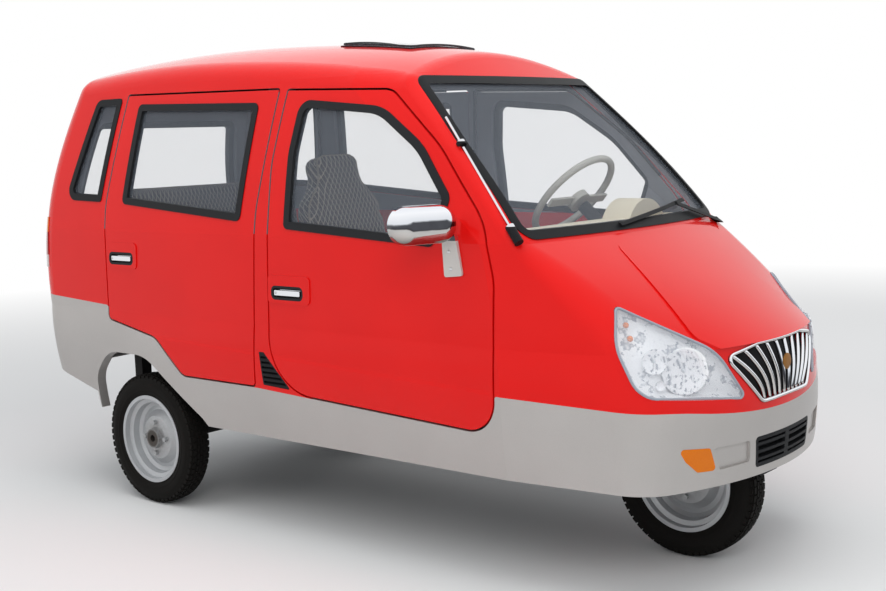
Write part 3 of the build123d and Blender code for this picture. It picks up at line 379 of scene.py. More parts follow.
# Shallow line along the lower doors, too faint to make out from afar: its height at X = 0, its
# slope, its reach along X, how far out it starts, its width and its depth.
PRESSED_LINE = {"height": 0.661, "slope": -0.033, "from": -1.02, "to": 0.935, "out": 0.55,
                "width": 0.014, "depth": 0.004}


def red(paint):
    """Bright red, gently uneven."""
    return paint.blend(tone(216, 12, 10), tone(228, 20, 16), paint.noise(0.35, detail=2))


def relief(paint):
    """Orange peel everywhere, and the shallow line along the doors."""
    x, y, z = paint.axes(paint.place())
    line = PRESSED_LINE
    below = ((x * line["slope"] + line["height"] - z) / line["width"] + 0.5).most(0).least(1)
    here = (x > line["from"]) * (x < line["to"]) * (y.distance() > line["out"])
    peel = paint.noise(0.006, detail=1)
    return paint.bump(below * here + peel * PEEL_SHARE, line["depth"])


def body_paint():
    """Red base, clear coat and an orange-peel ripple."""
    paint = Finish("red_paint")
    return paint.surface(Base_Color=red(paint), Roughness=RED_ROUGHNESS, Coat_Weight=1.0,
                         Coat_Roughness=COAT_ROUGHNESS, Normal=relief(paint))


RED = body_paint()
print("made", RED.name)

# %% Lined paint and silver paint
CABIN_MIDDLE_HEIGHT = 0.9
LINING_FROM_HEIGHT = 1.10
LINING_DULLER = 0.45


def inward(paint):
    """1 on faces that look towards the middle of the cabin, 0 on faces that look away from it."""
    x, y, z = paint.axes(paint.place())
    nx, ny, nz = paint.axes(paint.node("ShaderNodeTexCoord", output="Normal"))
    facing = x * nx + y * ny + (z - CABIN_MIDDLE_HEIGHT) * nz
    return facing < 0


def lined_paint():
    """Red paint outside, and inside the pale grey lining of the roof and pillars."""
    paint = Finish("red_paint_lined")
    x, y, z = paint.axes(paint.place())
    cloth = paint.blend(tone(116, 119, 126), tone(138, 141, 148), paint.noise(0.0015, detail=2))
    inside = inward(paint) * (z > LINING_FROM_HEIGHT)
    return paint.surface(Base_Color=paint.blend(red(paint), cloth, inside),
                         Roughness=inside * LINING_DULLER + RED_ROUGHNESS,
                         Coat_Weight=1 - inside, Coat_Roughness=COAT_ROUGHNESS,
                         Normal=relief(paint))


def cladding_paint():
    """Silver-grey sprayed plastic: fine metallic speckle and a satin sheen."""
    paint = Finish("silver_paint")
    speckle, cloud = paint.noise(0.0015, detail=1), paint.noise(0.4, detail=3)
    grey = paint.blend(tone(168, 164, 161), tone(194, 190, 187), speckle * 0.5 + cloud * 0.5)
    return paint.surface(Base_Color=grey, Metallic=0.45, Roughness=0.3,
                         Normal=paint.bump(paint.noise(0.004, detail=1), 0.00005))


LINED = lined_paint()
SILVER = cladding_paint()
print("made", LINED.name, "and", SILVER.name)

# %% [markdown]
# ## Plain materials
# Rubber, moulded plastic, cast iron and plated steel differ in colour and shine, but all have a
# fine grain over a broader cloud, so one function makes them and a table tells them apart.

# %% Rubber, plastic and metal
def grained(name, dark, light, size, roughness, depth, metallic=0.0, coat=0.0):
    """A material with a fine two-tone grain and matching relief."""
    made = Finish(name)
    grain, broad = made.noise(size, detail=4), made.noise(size * 40, detail=2)
    colour = made.blend(tone(*dark), tone(*light), grain * 0.6 + broad * 0.4)
    return made.surface(Base_Color=colour, Metallic=metallic, Roughness=broad * 0.12 + roughness,
                        Coat_Weight=coat, Normal=made.bump(grain, depth))


GRAINED = {
    # name: (dark, light, size of the grain, roughness, depth of the grain, metallic, coat)
    "seal_rubber": ((26, 27, 29), (38, 39, 41), 0.002, 0.4, 0.00008),
    "black_plastic": ((24, 25, 27), (36, 37, 39), 0.0012, 0.45, 0.00012),
    "black_steel": ((26, 26, 27), (48, 46, 45), 0.004, 0.5, 0.0001),
    "cast_iron": ((92, 92, 94), (130, 130, 132), 0.003, 0.6, 0.0003),
    "floor_paint": ((62, 62, 64), (84, 84, 86), 0.004, 0.65, 0.0002),
    "cream_plastic": ((214, 205, 182), (226, 218, 197), 0.0015, 0.5, 0.0001),
    "grey_plastic": ((176, 174, 166), (192, 190, 182), 0.0012, 0.45, 0.00008),
    "tyre": ((15, 14, 13), (27, 25, 23), 0.002, 0.68, 0.0002),
    "bright_steel": ((196, 197, 199), (222, 223, 225), 0.002, 0.28, 0.00005, 1.0),
    "bronze": ((132, 92, 48), (158, 112, 62), 0.002, 0.42, 0.0001, 0.4),
    "lens_rim": ((142, 148, 158), (172, 178, 188), 0.003, 0.35, 0.00006),
    "bulb": ((196, 202, 208), (226, 230, 234), 0.004, 0.1, 0.00004, 0.0, 1.0),
    "seat_piping": ((112, 104, 92), (140, 131, 117), 0.0012, 0.8, 0.0002),
    "lens_amber": ((212, 104, 4), (230, 126, 10), 0.004, 0.12, 0.0002, 0.0, 1.0),
}
PLAIN = {name: grained(name, *looks) for name, looks in GRAINED.items()}
print(len(PLAIN), "grained materials")

# %% [markdown]
# The pressed steel wheels are silver, with a greasy dark hub and painted shade, broken by noise, in
# the deep of the dish. Both follow the distance from the wheel's own axle, which is worked out from
# X and Z.

# %% Wheel paint
HUB_RADIUS, HUB_EDGE = 0.030, 0.012
DISH_SHADE_RADIUS, DISH_SHADE_EDGE = 0.105, 0.07
FRONT_WHEEL_FROM = 0.2


def wheel_paint():
    """Silver wheel paint with a greasy dark hub and painted shade in the deep of the dish."""
    made = Finish("wheel_paint")
    x, y, z = made.axes(made.place())
    front = x > FRONT_WHEEL_FROM
    across = x - front * at(WHEELBASE) - (1 - front) * REAR_AXLE_X
    radius = (across.power(2) + (z - TYRE_RADIUS).power(2)).power(0.5)
    blotches = made.noise(0.012, detail=4)
    grain = made.noise(0.003, detail=3)
    mottle = grain * 0.5 + made.noise(0.1) * 0.5
    silver = made.blend(tone(166, 168, 170), tone(198, 200, 202), mottle)
    hub = (1 - (radius - HUB_RADIUS) / HUB_EDGE).most(0).least(1)
    # painted shade: darker and browner towards the deep of the dish, broken up by noise
    dish_shade = ((DISH_SHADE_RADIUS - radius) / DISH_SHADE_EDGE).most(0).least(1) * blotches * 0.75
    shaded_silver = made.blend(silver, tone(92, 82, 70), dish_shade)
    return made.surface(Base_Color=made.blend(shaded_silver, tone(58, 51, 44), hub * 0.9), Metallic=0.45,
                        Roughness=blotches * 0.2 + 0.26, Normal=made.bump(grain, 0.00008))


WHEEL_PAINT = wheel_paint()
print("made", WHEEL_PAINT.name)

# %% [markdown]
# ## Lamp and chrome finishes
# The inside of a headlamp is a bright moulding broken into facets and flutes. Real mirrors there
# would show only the white studio, so the grey reflections of the facets are painted in: painted
# reflection in cells for the bucket and along the ribs for the dishes, each with relief that
# follows them.

# %% Headlamp bucket and dishes
CELLS_PER_METRE = 85.0


def crystal():
    """Bright lamp bucket: white faceted moulding with thin ribs, and small grey cells of painted
    reflection.
    """
    made = Finish("lamp_bucket")
    x, y, z = made.axes(made.place())
    cells = made.node("ShaderNodeTexVoronoi", inputs={
        "Vector": made.place(), "Scale": CELLS_PER_METRE})
    ribs = ((z * 1.4 + x - y) * 60).ribbed()
    # painted reflection: grey in some cells, where a facet would mirror something darker than the
    # studio
    grey = (made.noise(0.035, detail=3) > 0.56) * cells.power(1.2)
    shade = made.blend(tone(253, 254, 255), tone(150, 157, 168), (grey * 1.3).least(0.8))
    return made.surface(Base_Color=shade, Metallic=0.1, Roughness=0.25,
                        Normal=made.bump(ribs * 0.4 + cells, 0.0012))


def fluted():
    """Mirror-bright dish with upright flutes, and broken dark streaks of painted reflection between
    them.
    """
    made = Finish("fluted_reflector")
    x, y, z = made.axes(made.place())
    ribs = (x * 190 + z * 25).ribbed()
    # painted reflection: broken dark streaks on the flutes
    painted_dark_streak = (made.noise(0.018, detail=3) > 0.55) * ribs
    shade = made.blend(tone(250, 251, 253), tone(112, 120, 134), painted_dark_streak * 0.85)
    return made.surface(Base_Color=shade, Metallic=0.3, Roughness=ribs * 0.08 + 0.16,
                        Normal=made.bump(ribs, 0.001))


REFLECTOR_WHITE = crystal()
FLUTED = fluted()
print("made", REFLECTOR_WHITE.name, "and", FLUTED.name)

# %% [markdown]
# Chrome in a white studio would look like white plastic. Outdoors it reflects the ground, a dark
# horizon and the sky, one above the other, by how far a surface looks up, so that reflection is
# painted into its colour: a ramp on the upward part of the normal gives it that painted band.

# %% Chrome
PAINTED_REFLECTION_STOPS = [
    # how far up the surface looks, from 0 for down to 1 for up, and the colour of the painted
    # reflection there
    (0.0, tone(120, 118, 116)), (0.30, tone(196, 192, 188)), (0.455, tone(205, 203, 201)),
    (0.475, tone(52, 52, 56)), (0.515, tone(84, 86, 92)), (0.55, tone(222, 226, 232)),
    (0.8, tone(246, 248, 252)), (1.0, tone(232, 236, 244))]
WAVER = 0.02
MIRROR_BRACKET_TOP = 1.101


def chrome_paint(name, plain_below=None):
    """Chrome that carries a painted reflection with a dark horizon band. Below a height the metal
    is plain and satin.
    """
    made = Finish(name)
    nx, ny, nz = made.axes(made.node("ShaderNodeTexCoord", output="Normal"))
    waver = made.noise(0.03, detail=2)
    # painted reflection: the colour follows how far the surface looks up, ground below, dark
    # horizon, sky above
    mirror = made.ramp(nz * 0.5 + 0.5 + (waver - 0.5) * WAVER, PAINTED_REFLECTION_STOPS)
    if plain_below is None:
        return made.surface(Base_Color=mirror, Metallic=1.0, Roughness=waver * 0.03 + 0.03)
    x, y, z = made.axes(made.place())
    plain = z < plain_below
    return made.surface(Base_Color=made.blend(mirror, tone(198, 194, 190), plain),
                        Metallic=1 - plain * 0.7, Roughness=plain * 0.35 + 0.05)


CHROME = chrome_paint("chrome")
MIRROR_CHROME = chrome_paint("mirror_chrome", MIRROR_BRACKET_TOP)
print("chrome ramp has", len(PAINTED_REFLECTION_STOPS), "stops")

# %% [markdown]
# ## Seat cloth
# The seats wear a dark woven cloth with a pale lace of open diamonds. Two sets of slanted lines
# make the lace: where either is close to its middle lies a thread, and where both are, a dot.

# %% Seat cloth
LACE_WIDTH, LACE_HEIGHT = 0.021, 0.031
THREAD_HALF, DOT_SIZE = 0.075, 0.24


def seat_fabric():
    """Woven brown-grey cloth with an open diamond lace."""
    made = Finish("seat_fabric")
    x, y, z = made.axes(made.place())
    across, up = y / LACE_WIDTH, (x + z) / LACE_HEIGHT
    first = ((across + up) % 1 - 0.5).distance()
    second = ((across - up) % 1 - 0.5).distance()
    lace = first.least(second) < THREAD_HALF
    dots = (first + second) < DOT_SIZE
    pattern = lace.most(dots)
    weave = made.noise(0.0012, detail=2)
    ground = made.blend(tone(40, 34, 31), tone(58, 51, 47), weave)
    thread = made.blend(tone(136, 126, 112), tone(168, 158, 142), weave)
    worn = made.noise(0.12, detail=2) * 0.2
    colour = made.blend(made.blend(ground, thread, pattern), tone(84, 76, 70), worn)
    return made.surface(Base_Color=colour, Roughness=0.86, Sheen_Weight=0.3,
                        Normal=made.bump(weave * 0.5 + pattern * 0.5, 0.0006))


FABRIC = seat_fabric()
print("made", FABRIC.name)

# %% [markdown]
# ## Parts in two finishes
# A door's trim is black rubber with a chrome paddle in its handle, the antenna a chrome rod with a
# black foot and clip, and the tail lamp a lens in three bands. Each is one solid, so a mask on its
# own coordinates says where one finish ends and the next begins.

# %% Door trim, antenna and tail lamp
HANDLES = {
    # door: (station, height, half the paddle's length)
    "front_door": (0.845, 0.895, 0.065),
    "rear_door": (-0.104, 0.984, 0.062),
}
PADDLE_HALF_HEIGHT = 0.0098
ANTENNA_FOOT_TOP, CLIP_HEIGHT, CLIP_HALF = 1.147, 1.400, 0.0085
AMBER_FROM, CLEAR_BELOW = 1.078, 0.982


def handled_seal():
    """Black rubber and bezel, with the chrome paddle inside each door handle."""
    made = Finish("door_trim")
    x, y, z = made.axes(made.place())
    grain = made.noise(0.002, detail=3)
    front, rear = (
        ((x - at(station)).distance() < half) * ((z - height).distance() < PADDLE_HALF_HEIGHT)
        for station, height, half in HANDLES.values())
    chrome = front.most(rear)
    black = made.blend(tone(30, 31, 33), tone(44, 45, 47), grain)
    return made.surface(Base_Color=made.blend(black, tone(228, 230, 234), chrome), Metallic=chrome,
                        Roughness=0.48 - chrome * 0.42, Normal=made.bump(grain, 0.00006))


def antenna_finish():
    """Chrome rod with a black foot and a black clip."""
    made = Finish("antenna_finish")
    x, y, z = made.axes(made.place())
    grain = made.noise(0.002, detail=2)
    black = (z < ANTENNA_FOOT_TOP).most((z - CLIP_HEIGHT).distance() < CLIP_HALF)
    plastic = made.blend(tone(22, 22, 24), tone(34, 34, 36), grain)
    return made.surface(Base_Color=made.blend(tone(232, 234, 238), plastic, black),
                        Metallic=1 - black, Roughness=black * 0.4 + 0.06,
                        Normal=made.bump(grain, 0.00003))


def tail_lamp_finish():
    """Lens in three bands: amber above, red in the middle and clear below, with painted shade along
    its ribs.
    """
    made = Finish("tail_lamp_lens")
    x, y, z = made.axes(made.place())
    ribs = (z * 260).ribbed()
    upper = made.blend(tone(158, 12, 14), tone(226, 120, 16), z > AMBER_FROM)
    bands = made.blend(upper, tone(205, 200, 198), z < CLEAR_BELOW)
    # painted shade: the colour darkens in stripes that follow the ribs' relief
    return made.surface(Base_Color=made.blend(bands, tone(90, 20, 16), ribs * 0.12), Roughness=0.12,
                        Coat_Weight=1.0, Normal=made.bump(ribs, 0.0004))


DOOR_TRIM = handled_seal()
ANTENNA = antenna_finish()
TAIL_LENS = tail_lamp_finish()
print("made", DOOR_TRIM.name, ANTENNA.name, "and", TAIL_LENS.name)

# %% [markdown]
# ## Glass
# A pane is a closed thin solid. Real refraction through it costs many bounces and turns dark when
# they run out, so the glass is a nearly clear film instead: alpha lets the light straight through,
# and what is left carries a faint tint, uneven as smears are, and the full shine.

# %% Glass
def glass(name, colour, clearness):
    """Thin clear glass that lets most light straight through."""
    made = Finish(name)
    made.owner.surface_render_method = "BLENDED"
    darker = tuple(channel * 0.9 for channel in colour[:3]) + (1,)
    return made.surface(Base_Color=made.blend(colour, darker, made.noise(0.2, detail=3)),
                        Roughness=0.05, Alpha=1 - clearness, Specular_IOR_Level=1.0)


WINDOW = glass("window_glass", tone(176, 186, 200), 0.90)
LENS = glass("lens_clear", tone(236, 240, 248), 0.86)
print("made", WINDOW.name, "and", LENS.name)

# %% [markdown]
# ## Finishes on the CAD nodes
# Each node's record names a slot, and the slot says what it is made of. A few nodes differ from
# the rest of their slot: the lined panels, the mirrors on their satin brackets, the antenna and
# the door trims.

# %% Finishes on the nodes
SLOT_FINISH = {
    **{name: PLAIN[name] for name in (
        "seal_rubber", "black_plastic", "black_steel", "cast_iron", "floor_paint",
        "cream_plastic", "grey_plastic", "tyre", "lens_amber")},
    "red_paint": RED, "silver_paint": SILVER, "window_glass": WINDOW, "lens_clear": LENS,
    "lamp_chrome": CHROME, "lens_red": TAIL_LENS, "chrome_trim": CHROME,
    "seat_fabric": FABRIC, "wheel_paint": WHEEL_PAINT,
}
LINED_NODES = ("roof_panel", "side_frame_right", "side_frame_left", "tailgate_panel")
NODE_FINISH = {
    "antenna": ANTENNA, "mirror_right": MIRROR_CHROME, "mirror_left": MIRROR_CHROME,
    **dict.fromkeys(LINED_NODES, LINED),
}
for part in frame["record"]["subparts"]:
    name = part["node"]
    finish = NODE_FINISH.get(name, SLOT_FINISH[part["material_slot"]])
    if name.endswith("_trim"):
        finish = DOOR_TRIM
    if name.endswith("_panel") and "door" in name:
        finish = LINED
    node = frame["nodes"][name]
    node.data.materials.clear()
    node.data.materials.append(finish)
print(len(frame["nodes"]), "CAD nodes have their finish")

# %% [markdown]
# ## Helpers for new pieces
# Every new piece is one mesh object at the origin, with its place in its vertices. `add_piece`
# gives it a material, smooth shading and the body it moves with. `frozen` turns an object with
# modifiers into a plain mesh, so no modifier is left on a finished piece.

# %% Finishing a piece
DOUBLES = 0.00001


def frozen(made):
    """Replace an object's mesh by what its modifiers make of it, and remove them."""
    graph = bpy.context.evaluated_depsgraph_get()
    graph.update()
    mesh = bpy.data.meshes.new_from_object(made.evaluated_get(graph))
    made.modifiers.clear()
    made.data = mesh
    return made


def outward(made):
    """Merge a mesh's doubled points, such as a pole, and turn every face to look out."""
    shape = bmesh.new()
    shape.from_mesh(made.data)
    bmesh.ops.remove_doubles(shape, verts=shape.verts, dist=DOUBLES)
    bmesh.ops.dissolve_degenerate(shape, edges=shape.edges, dist=DOUBLES)
    bmesh.ops.recalc_face_normals(shape, faces=shape.faces)
    shape.to_mesh(made.data)
    shape.free()
    return made


def add_piece(made, material, body):
    """Finish a piece: material, smooth shading and body."""
    made.data.materials.clear()
    made.data.materials.append(material)
    made.data.polygons.foreach_set("use_smooth", [True] * len(made.data.polygons))
    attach(made, body)
    return made


def tree_of(made):
    """Ray-casting tree of an object's mesh."""
    shape = bmesh.new()
    shape.from_mesh(made.data)
    tree = BVHTree.FromBMesh(shape)
    shape.free()
    return tree


print("points closer than", DOUBLES, "m are merged")

# %% [markdown]
# Three shapes come back all over the car: a round bead along a line, a section turned about an
# axis, and a polygon with rounded corners for such lines to follow.

# %% Beads, turned shapes and rounded lines
def tube(name, points, radius, closed=True, sides=8):
    """A round bead that follows a line of points."""
    points = [Vector(p) for p in points]
    count = len(points)
    vertices, faces = [], []
    side_way = None
    for i, point in enumerate(points):
        before = points[i - 1] if closed or i else points[0]
        after = points[(i + 1) % count] if closed or i < count - 1 else points[-1]
        along = (after - before).normalized()
        side_way = (along.orthogonal() if side_way is None
                    else side_way - along * side_way.dot(along))
        side_way.normalize()
        other = along.cross(side_way)
        for j in range(sides):
            turn = 2 * math.pi * j / sides
            vertices.append(point + (side_way * math.cos(turn) + other * math.sin(turn)) * radius)
    for i in range(count if closed else count - 1):
        for j in range(sides):
            a, b = i * sides + j, i * sides + (j + 1) % sides
            c, d = ((i + 1) % count) * sides + (j + 1) % sides, ((i + 1) % count) * sides + j
            faces.append((a, b, c, d))
    if not closed:
        faces += [tuple(range(sides))[::-1], tuple((count - 1) * sides + j for j in range(sides))]
    return outward(new_object(name, vertices, faces))


def revolved(name, profile, centre, axis, segments=96, closed=True):
    """A ring turned about an axis from (radius, distance along the axis) points."""
    axis = Vector(axis).normalized()
    first = axis.orthogonal().normalized()
    second = axis.cross(first)
    vertices, faces = [], []
    size = len(profile)
    for i in range(segments):
        turn = 2 * math.pi * i / segments
        spoke = first * math.cos(turn) + second * math.sin(turn)
        vertices += [Vector(centre) + spoke * r + axis * d for r, d in profile]
    for i in range(segments):
        for j in range(size if closed else size - 1):
            a, b = i * size + j, i * size + (j + 1) % size
            c, d = ((i + 1) % segments) * size + (j + 1) % size, ((i + 1) % segments) * size + j
            faces.append((a, b, c, d))
    return outward(new_object(name, vertices, faces))


def rounded(corners, steps=7):
    """Points round a polygon of (across, up, radius) corners, each corner an arc."""
    points = []
    for i, (x, y, radius) in enumerate(corners):
        here = Vector((x, y))
        back = (Vector(corners[i - 1][:2]) - here).normalized()
        on = (Vector(corners[(i + 1) % len(corners)][:2]) - here).normalized()
        half = back.angle(on) / 2
        reach = radius / math.tan(half)
        middle = here + (back + on).normalized() * radius / math.sin(half)
        start, end = here + back * reach - middle, here + on * reach - middle
        sweep = start.angle_signed(end)
        for k in range(steps + 1):
            turned = start.copy()
            turned.rotate(Matrix.Rotation(-sweep * k / steps, 2))
            points.append(middle + turned)
    return points


def dense(line, step, whole=int):
    """A closed line with extra points on its long stretches, no more than about a step apart."""
    points = []
    for here, following in zip(line, line[1:] + line[:1]):
        parts = max(1, whole((following - here).length / step))
        points += [here.lerp(following, k / parts) for k in range(parts)]
    return points


print("a square with rounded corners has",
      len(rounded([(x, y, 0.1) for x, y in ((0, 0), (1, 0), (1, 1), (0, 1))])), "points")

# %% [markdown]
# ## Tyres
# The tyre's smooth carcass is a revolved section. Its tread is what repeats, so Geometry Nodes
# makes it: a ring of points, a block on each point turned to face outwards, and one such ring for
# each row of a short table. Realize Instances makes real geometry of it, and the result is read
# back as a mesh.

# %% Tread block tree
def tread_tree():
    """Geometry Nodes tree: one ring of blocks round Z, added to what comes in."""
    tree = bpy.data.node_groups.new("tread_ring", "GeometryNodeTree")
    tree.interface.new_socket("Geometry", in_out="OUTPUT", socket_type="NodeSocketGeometry")
    sockets = {}
    for name, kind in (("Geometry", "NodeSocketGeometry"), ("Blocks", "NodeSocketInt"),
                       ("Radius", "NodeSocketFloat"), ("Block size", "NodeSocketVector"),
                       ("Place", "NodeSocketVector"), ("Turn", "NodeSocketVector"),
                       ("Finish", "NodeSocketMaterial")):
        sockets[name] = tree.interface.new_socket(name, in_out="INPUT", socket_type=kind).identifier
    nodes, links = tree.nodes, tree.links
    given = nodes.new("NodeGroupInput")
    ring = nodes.new("GeometryNodeMeshCircle")
    block = nodes.new("GeometryNodeMeshCube")
    place = nodes.new("GeometryNodeInputPosition")
    facing = nodes.new("FunctionNodeAlignRotationToVector")
    facing.axis = "X"
    spread = nodes.new("GeometryNodeInstanceOnPoints")
    move = nodes.new("GeometryNodeTransform")
    real = nodes.new("GeometryNodeRealizeInstances")
    joined = nodes.new("GeometryNodeJoinGeometry")
    finish = nodes.new("GeometryNodeSetMaterial")
    result = nodes.new("NodeGroupOutput")
    for source, target in (
        (given.outputs["Blocks"], ring.inputs["Vertices"]),
        (given.outputs["Radius"], ring.inputs["Radius"]),
        (given.outputs["Block size"], block.inputs["Size"]),
        (place.outputs[0], facing.inputs["Vector"]),
        (ring.outputs["Mesh"], spread.inputs["Points"]),
        (block.outputs["Mesh"], spread.inputs["Instance"]),
        (facing.outputs["Rotation"], spread.inputs["Rotation"]),
        (spread.outputs["Instances"], move.inputs["Geometry"]),
        (given.outputs["Place"], move.inputs["Translation"]),
        (given.outputs["Turn"], move.inputs["Rotation"]),
        (given.outputs["Geometry"], joined.inputs[0]),
        (move.outputs["Geometry"], joined.inputs[0]),
        (joined.outputs[0], real.inputs["Geometry"]),
        (real.outputs["Geometry"], finish.inputs["Geometry"]),
        (given.outputs["Finish"], finish.inputs["Material"]),
        (finish.outputs["Geometry"], result.inputs[0]),
    ):
        links.new(source, target)
    return tree, sockets


TREAD, TREAD_INPUTS = tread_tree()
print("tread tree inputs:", list(TREAD_INPUTS))

# %% [markdown]
# Each row of the tread: how far it lies from the tyre's middle, how far out the middle of a block
# is, the size of a block (out, round, along the axle) and how far the row is turned, as a share of
# one step. Every row but the middle one is there on both sides.

# %% Tyres
BLOCKS = 60
HUB_SPREAD = 0.598
SHARP_EDGE = math.radians(35)
HALF_SECTION = [
    # (radius, distance from the tyre's middle)
    (0.166, 0.0415), (0.176, 0.0425), (0.182, 0.0435), (0.188, 0.0470), (0.194, 0.0492),
    (0.1965, 0.0508), (0.1985, 0.0508), (0.2005, 0.0500), (0.206, 0.0512), (0.214, 0.0518),
    (0.222, 0.0514), (0.226, 0.0508), (0.2275, 0.0498), (0.234, 0.0486), (0.241, 0.0455),
    (0.2475, 0.0415), (0.252, 0.036), (0.2555, 0.026), (0.2568, 0.014), (0.2572, 0.0)]
TREAD_ROWS = [
    (0.0000, 0.2570, (0.0090, 0.0225, 0.0110), 0.0),
    (0.0135, 0.2568, (0.0090, 0.0225, 0.0110), 0.5),
    (0.0290, 0.2548, (0.0090, 0.0215, 0.0150), 0.0),
    (0.0405, 0.2475, (0.0130, 0.0190, 0.0080), 0.0),
]
WHEELS = {
    # tyre node: (centre, body)
    "front_tyre": ((at(WHEELBASE), 0, TYRE_RADIUS), "front_wheel"),
    "rear_right_tyre": ((at(0), -HUB_SPREAD, TYRE_RADIUS), "rear_wheel_right"),
    "rear_left_tyre": ((at(0), HUB_SPREAD, TYRE_RADIUS), "rear_wheel_left"),
}
TYRE = PLAIN["tyre"]


def tread_row(tyre, along, radius, size, turn):
    """One ring of blocks, as a modifier on the tyre."""
    row = tyre.modifiers.new("tread", "NODES")
    row.node_group = TREAD
    for name, value in (("Blocks", BLOCKS), ("Radius", radius), ("Block size", size),
                        ("Place", (0, 0, along)), ("Turn", (0, 0, 2 * math.pi * turn / BLOCKS)),
                        ("Finish", TYRE)):
        row[TREAD_INPUTS[name]] = value


section = HALF_SECTION + [(r, -a) for r, a in reversed(HALF_SECTION[:-1])]
for node, (centre, body) in WHEELS.items():
    tyre = revolved(node + "_treaded", section, (0, 0, 0), (0, 0, 1))
    for away, *row in TREAD_ROWS:
        for side in (1, -1) if away else (1,):
            tread_row(tyre, side * away, *row)
    frozen(tyre)
    tyre.data.transform(Matrix.Translation(centre) @ Matrix.Rotation(math.pi / 2, 4, "X"))
    add_piece(tyre, TYRE, body)
    tyre.data.set_sharp_from_angle(angle=SHARP_EDGE)
    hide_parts(node)
treaded = [bpy.data.objects[node + "_treaded"] for node in WHEELS]
print("tyres:", [len(tyre.data.polygons) for tyre in treaded], "faces")

# %% [markdown]
# ## Headlamps
# Behind each clear lens is a bright moulded bucket with three round dishes of different sizes, each
# with its bulb, and two amber bulbs in the upper rear corner. The lens's own surface says where the
# bucket's rim lies: points of the outline are shot along the lamp's axis on to it.

# %% Lamp axes and rays
# Outline of the lens: (along the diagonal of the car's corner, height, corner radius).
LAMP_CORNERS = [(1.120, 0.912, 0.012), (1.100, 0.800, 0.150), (1.160, 0.650, 0.090),
                (1.530, 0.608, 0.012), (1.425, 0.765, 0.200)]
LAMP_ALONG = Vector((1, 1, 0)).normalized()
LAMP_OUT = Vector((1, -1, 0)).normalized()
LAMP_MIDDLE = (1.27, 0.74)
FAR_OUT = 3             # rays start this far away, well clear of the car


def lamp_place(along, height, out):
    """Point of the right lamp from its distance along the diagonal, its height and how far out."""
    diagonal = LAMP_ALONG * (along + REAR_AXLE_X / math.sqrt(2))
    return diagonal + Vector((0, 0, height)) + LAMP_OUT * out


LENS_TREE = tree_of(frame["nodes"]["headlamp_lenses"])


def on_lens(along, height):
    """How far out the lens's outer face is at one point, or None beside the lens."""
    hit = LENS_TREE.ray_cast(lamp_place(along, height, FAR_OUT), -LAMP_OUT)[0]
    return None if hit is None else hit.dot(LAMP_OUT)


def behind_lens(along, height, depth):
    """A place behind the lens, depth metres in from its outer face."""
    return lamp_place(along, height, on_lens(along, height) - depth)


def shrunk(point, share):
    """A point of the outline drawn in towards the middle of the lamp."""
    return tuple(m + (p - m) * share for p, m in zip(point, LAMP_MIDDLE))


outline = rounded(LAMP_CORNERS)
print("lens reaches out to", round(on_lens(*LAMP_MIDDLE), 3), "m")

# %% [markdown]
# The bucket is drawn as rings of the lens's outline, each smaller and deeper than the one before,
# and a dish is a turned parabola with a small lip. Both get their wall from Solidify. The right
# lamp is made first, and mirrored pieces make the left one.

# %% Bucket and dishes
LENS_THICKNESS = 0.009
SURE_SHARE = 0.96       # drawn in this far, nearly every point of the outline lies on the lens
BUCKET_WALL, DISH_WALL = 0.002, 0.0015
BUCKET_DEPTHS = [
    # (share of the outline, depth)
    (0.965, 0.000), (0.95, 0.012), (0.90, 0.030), (0.86, 0.042), (0.5, 0.050), (0.02, 0.052)]
REFLECTORS = [
    # along, height, radius, depth
    (1.318, 0.712, 0.068, 0.022),
    (1.222, 0.748, 0.036, 0.012),
    (1.236, 0.678, 0.014, 0.006),
]
DISH_STEPS = (0, 0.15, 0.3, 0.45, 0.6, 0.75, 0.88, 1.0)
DISH_LIP = 1.06
DISH_SEGMENTS = 64
DISH_BEHIND = LENS_THICKNESS + 0.016


def walled(made, thickness):
    """Give an open shape a wall."""
    wall = made.modifiers.new("wall", "SOLIDIFY")
    wall.thickness = thickness
    return outward(frozen(made))


def lamp_bucket():
    """Rings of the bucket, from the lens back, closed by a small middle face."""
    vertices, faces = [], []
    count = len(outline)
    for share, depth in BUCKET_DEPTHS:
        for point in outline:
            lens = on_lens(*shrunk(point, min(share, SURE_SHARE))) or on_lens(*LAMP_MIDDLE)
            vertices.append(lamp_place(*shrunk(point, share), lens - LENS_THICKNESS - depth))
    for ring in range(len(BUCKET_DEPTHS) - 1):
        for i in range(count):
            a, b = ring * count + i, ring * count + (i + 1) % count
            faces.append((a, b, b + count, a + count))
    faces.append(tuple((len(BUCKET_DEPTHS) - 1) * count + i for i in range(count)))
    return walled(new_object("headlamp_bucket_right", vertices, faces), BUCKET_WALL)


def reflector(name, along, height, radius, depth):
    """A parabolic dish that looks out of the lamp, with a small lip."""
    profile = [(radius * s, depth * (s * s - 1)) for s in DISH_STEPS]
    profile += [(radius * DISH_LIP, 0.001), (radius * DISH_LIP, -0.003)]
    rim = behind_lens(along, height, DISH_BEHIND)
    dish = revolved(name, profile, rim, LAMP_OUT, DISH_SEGMENTS, closed=False)
    return walled(dish, DISH_WALL)


bucket = lamp_bucket()
print("bucket has", len(bucket.data.polygons), "faces")

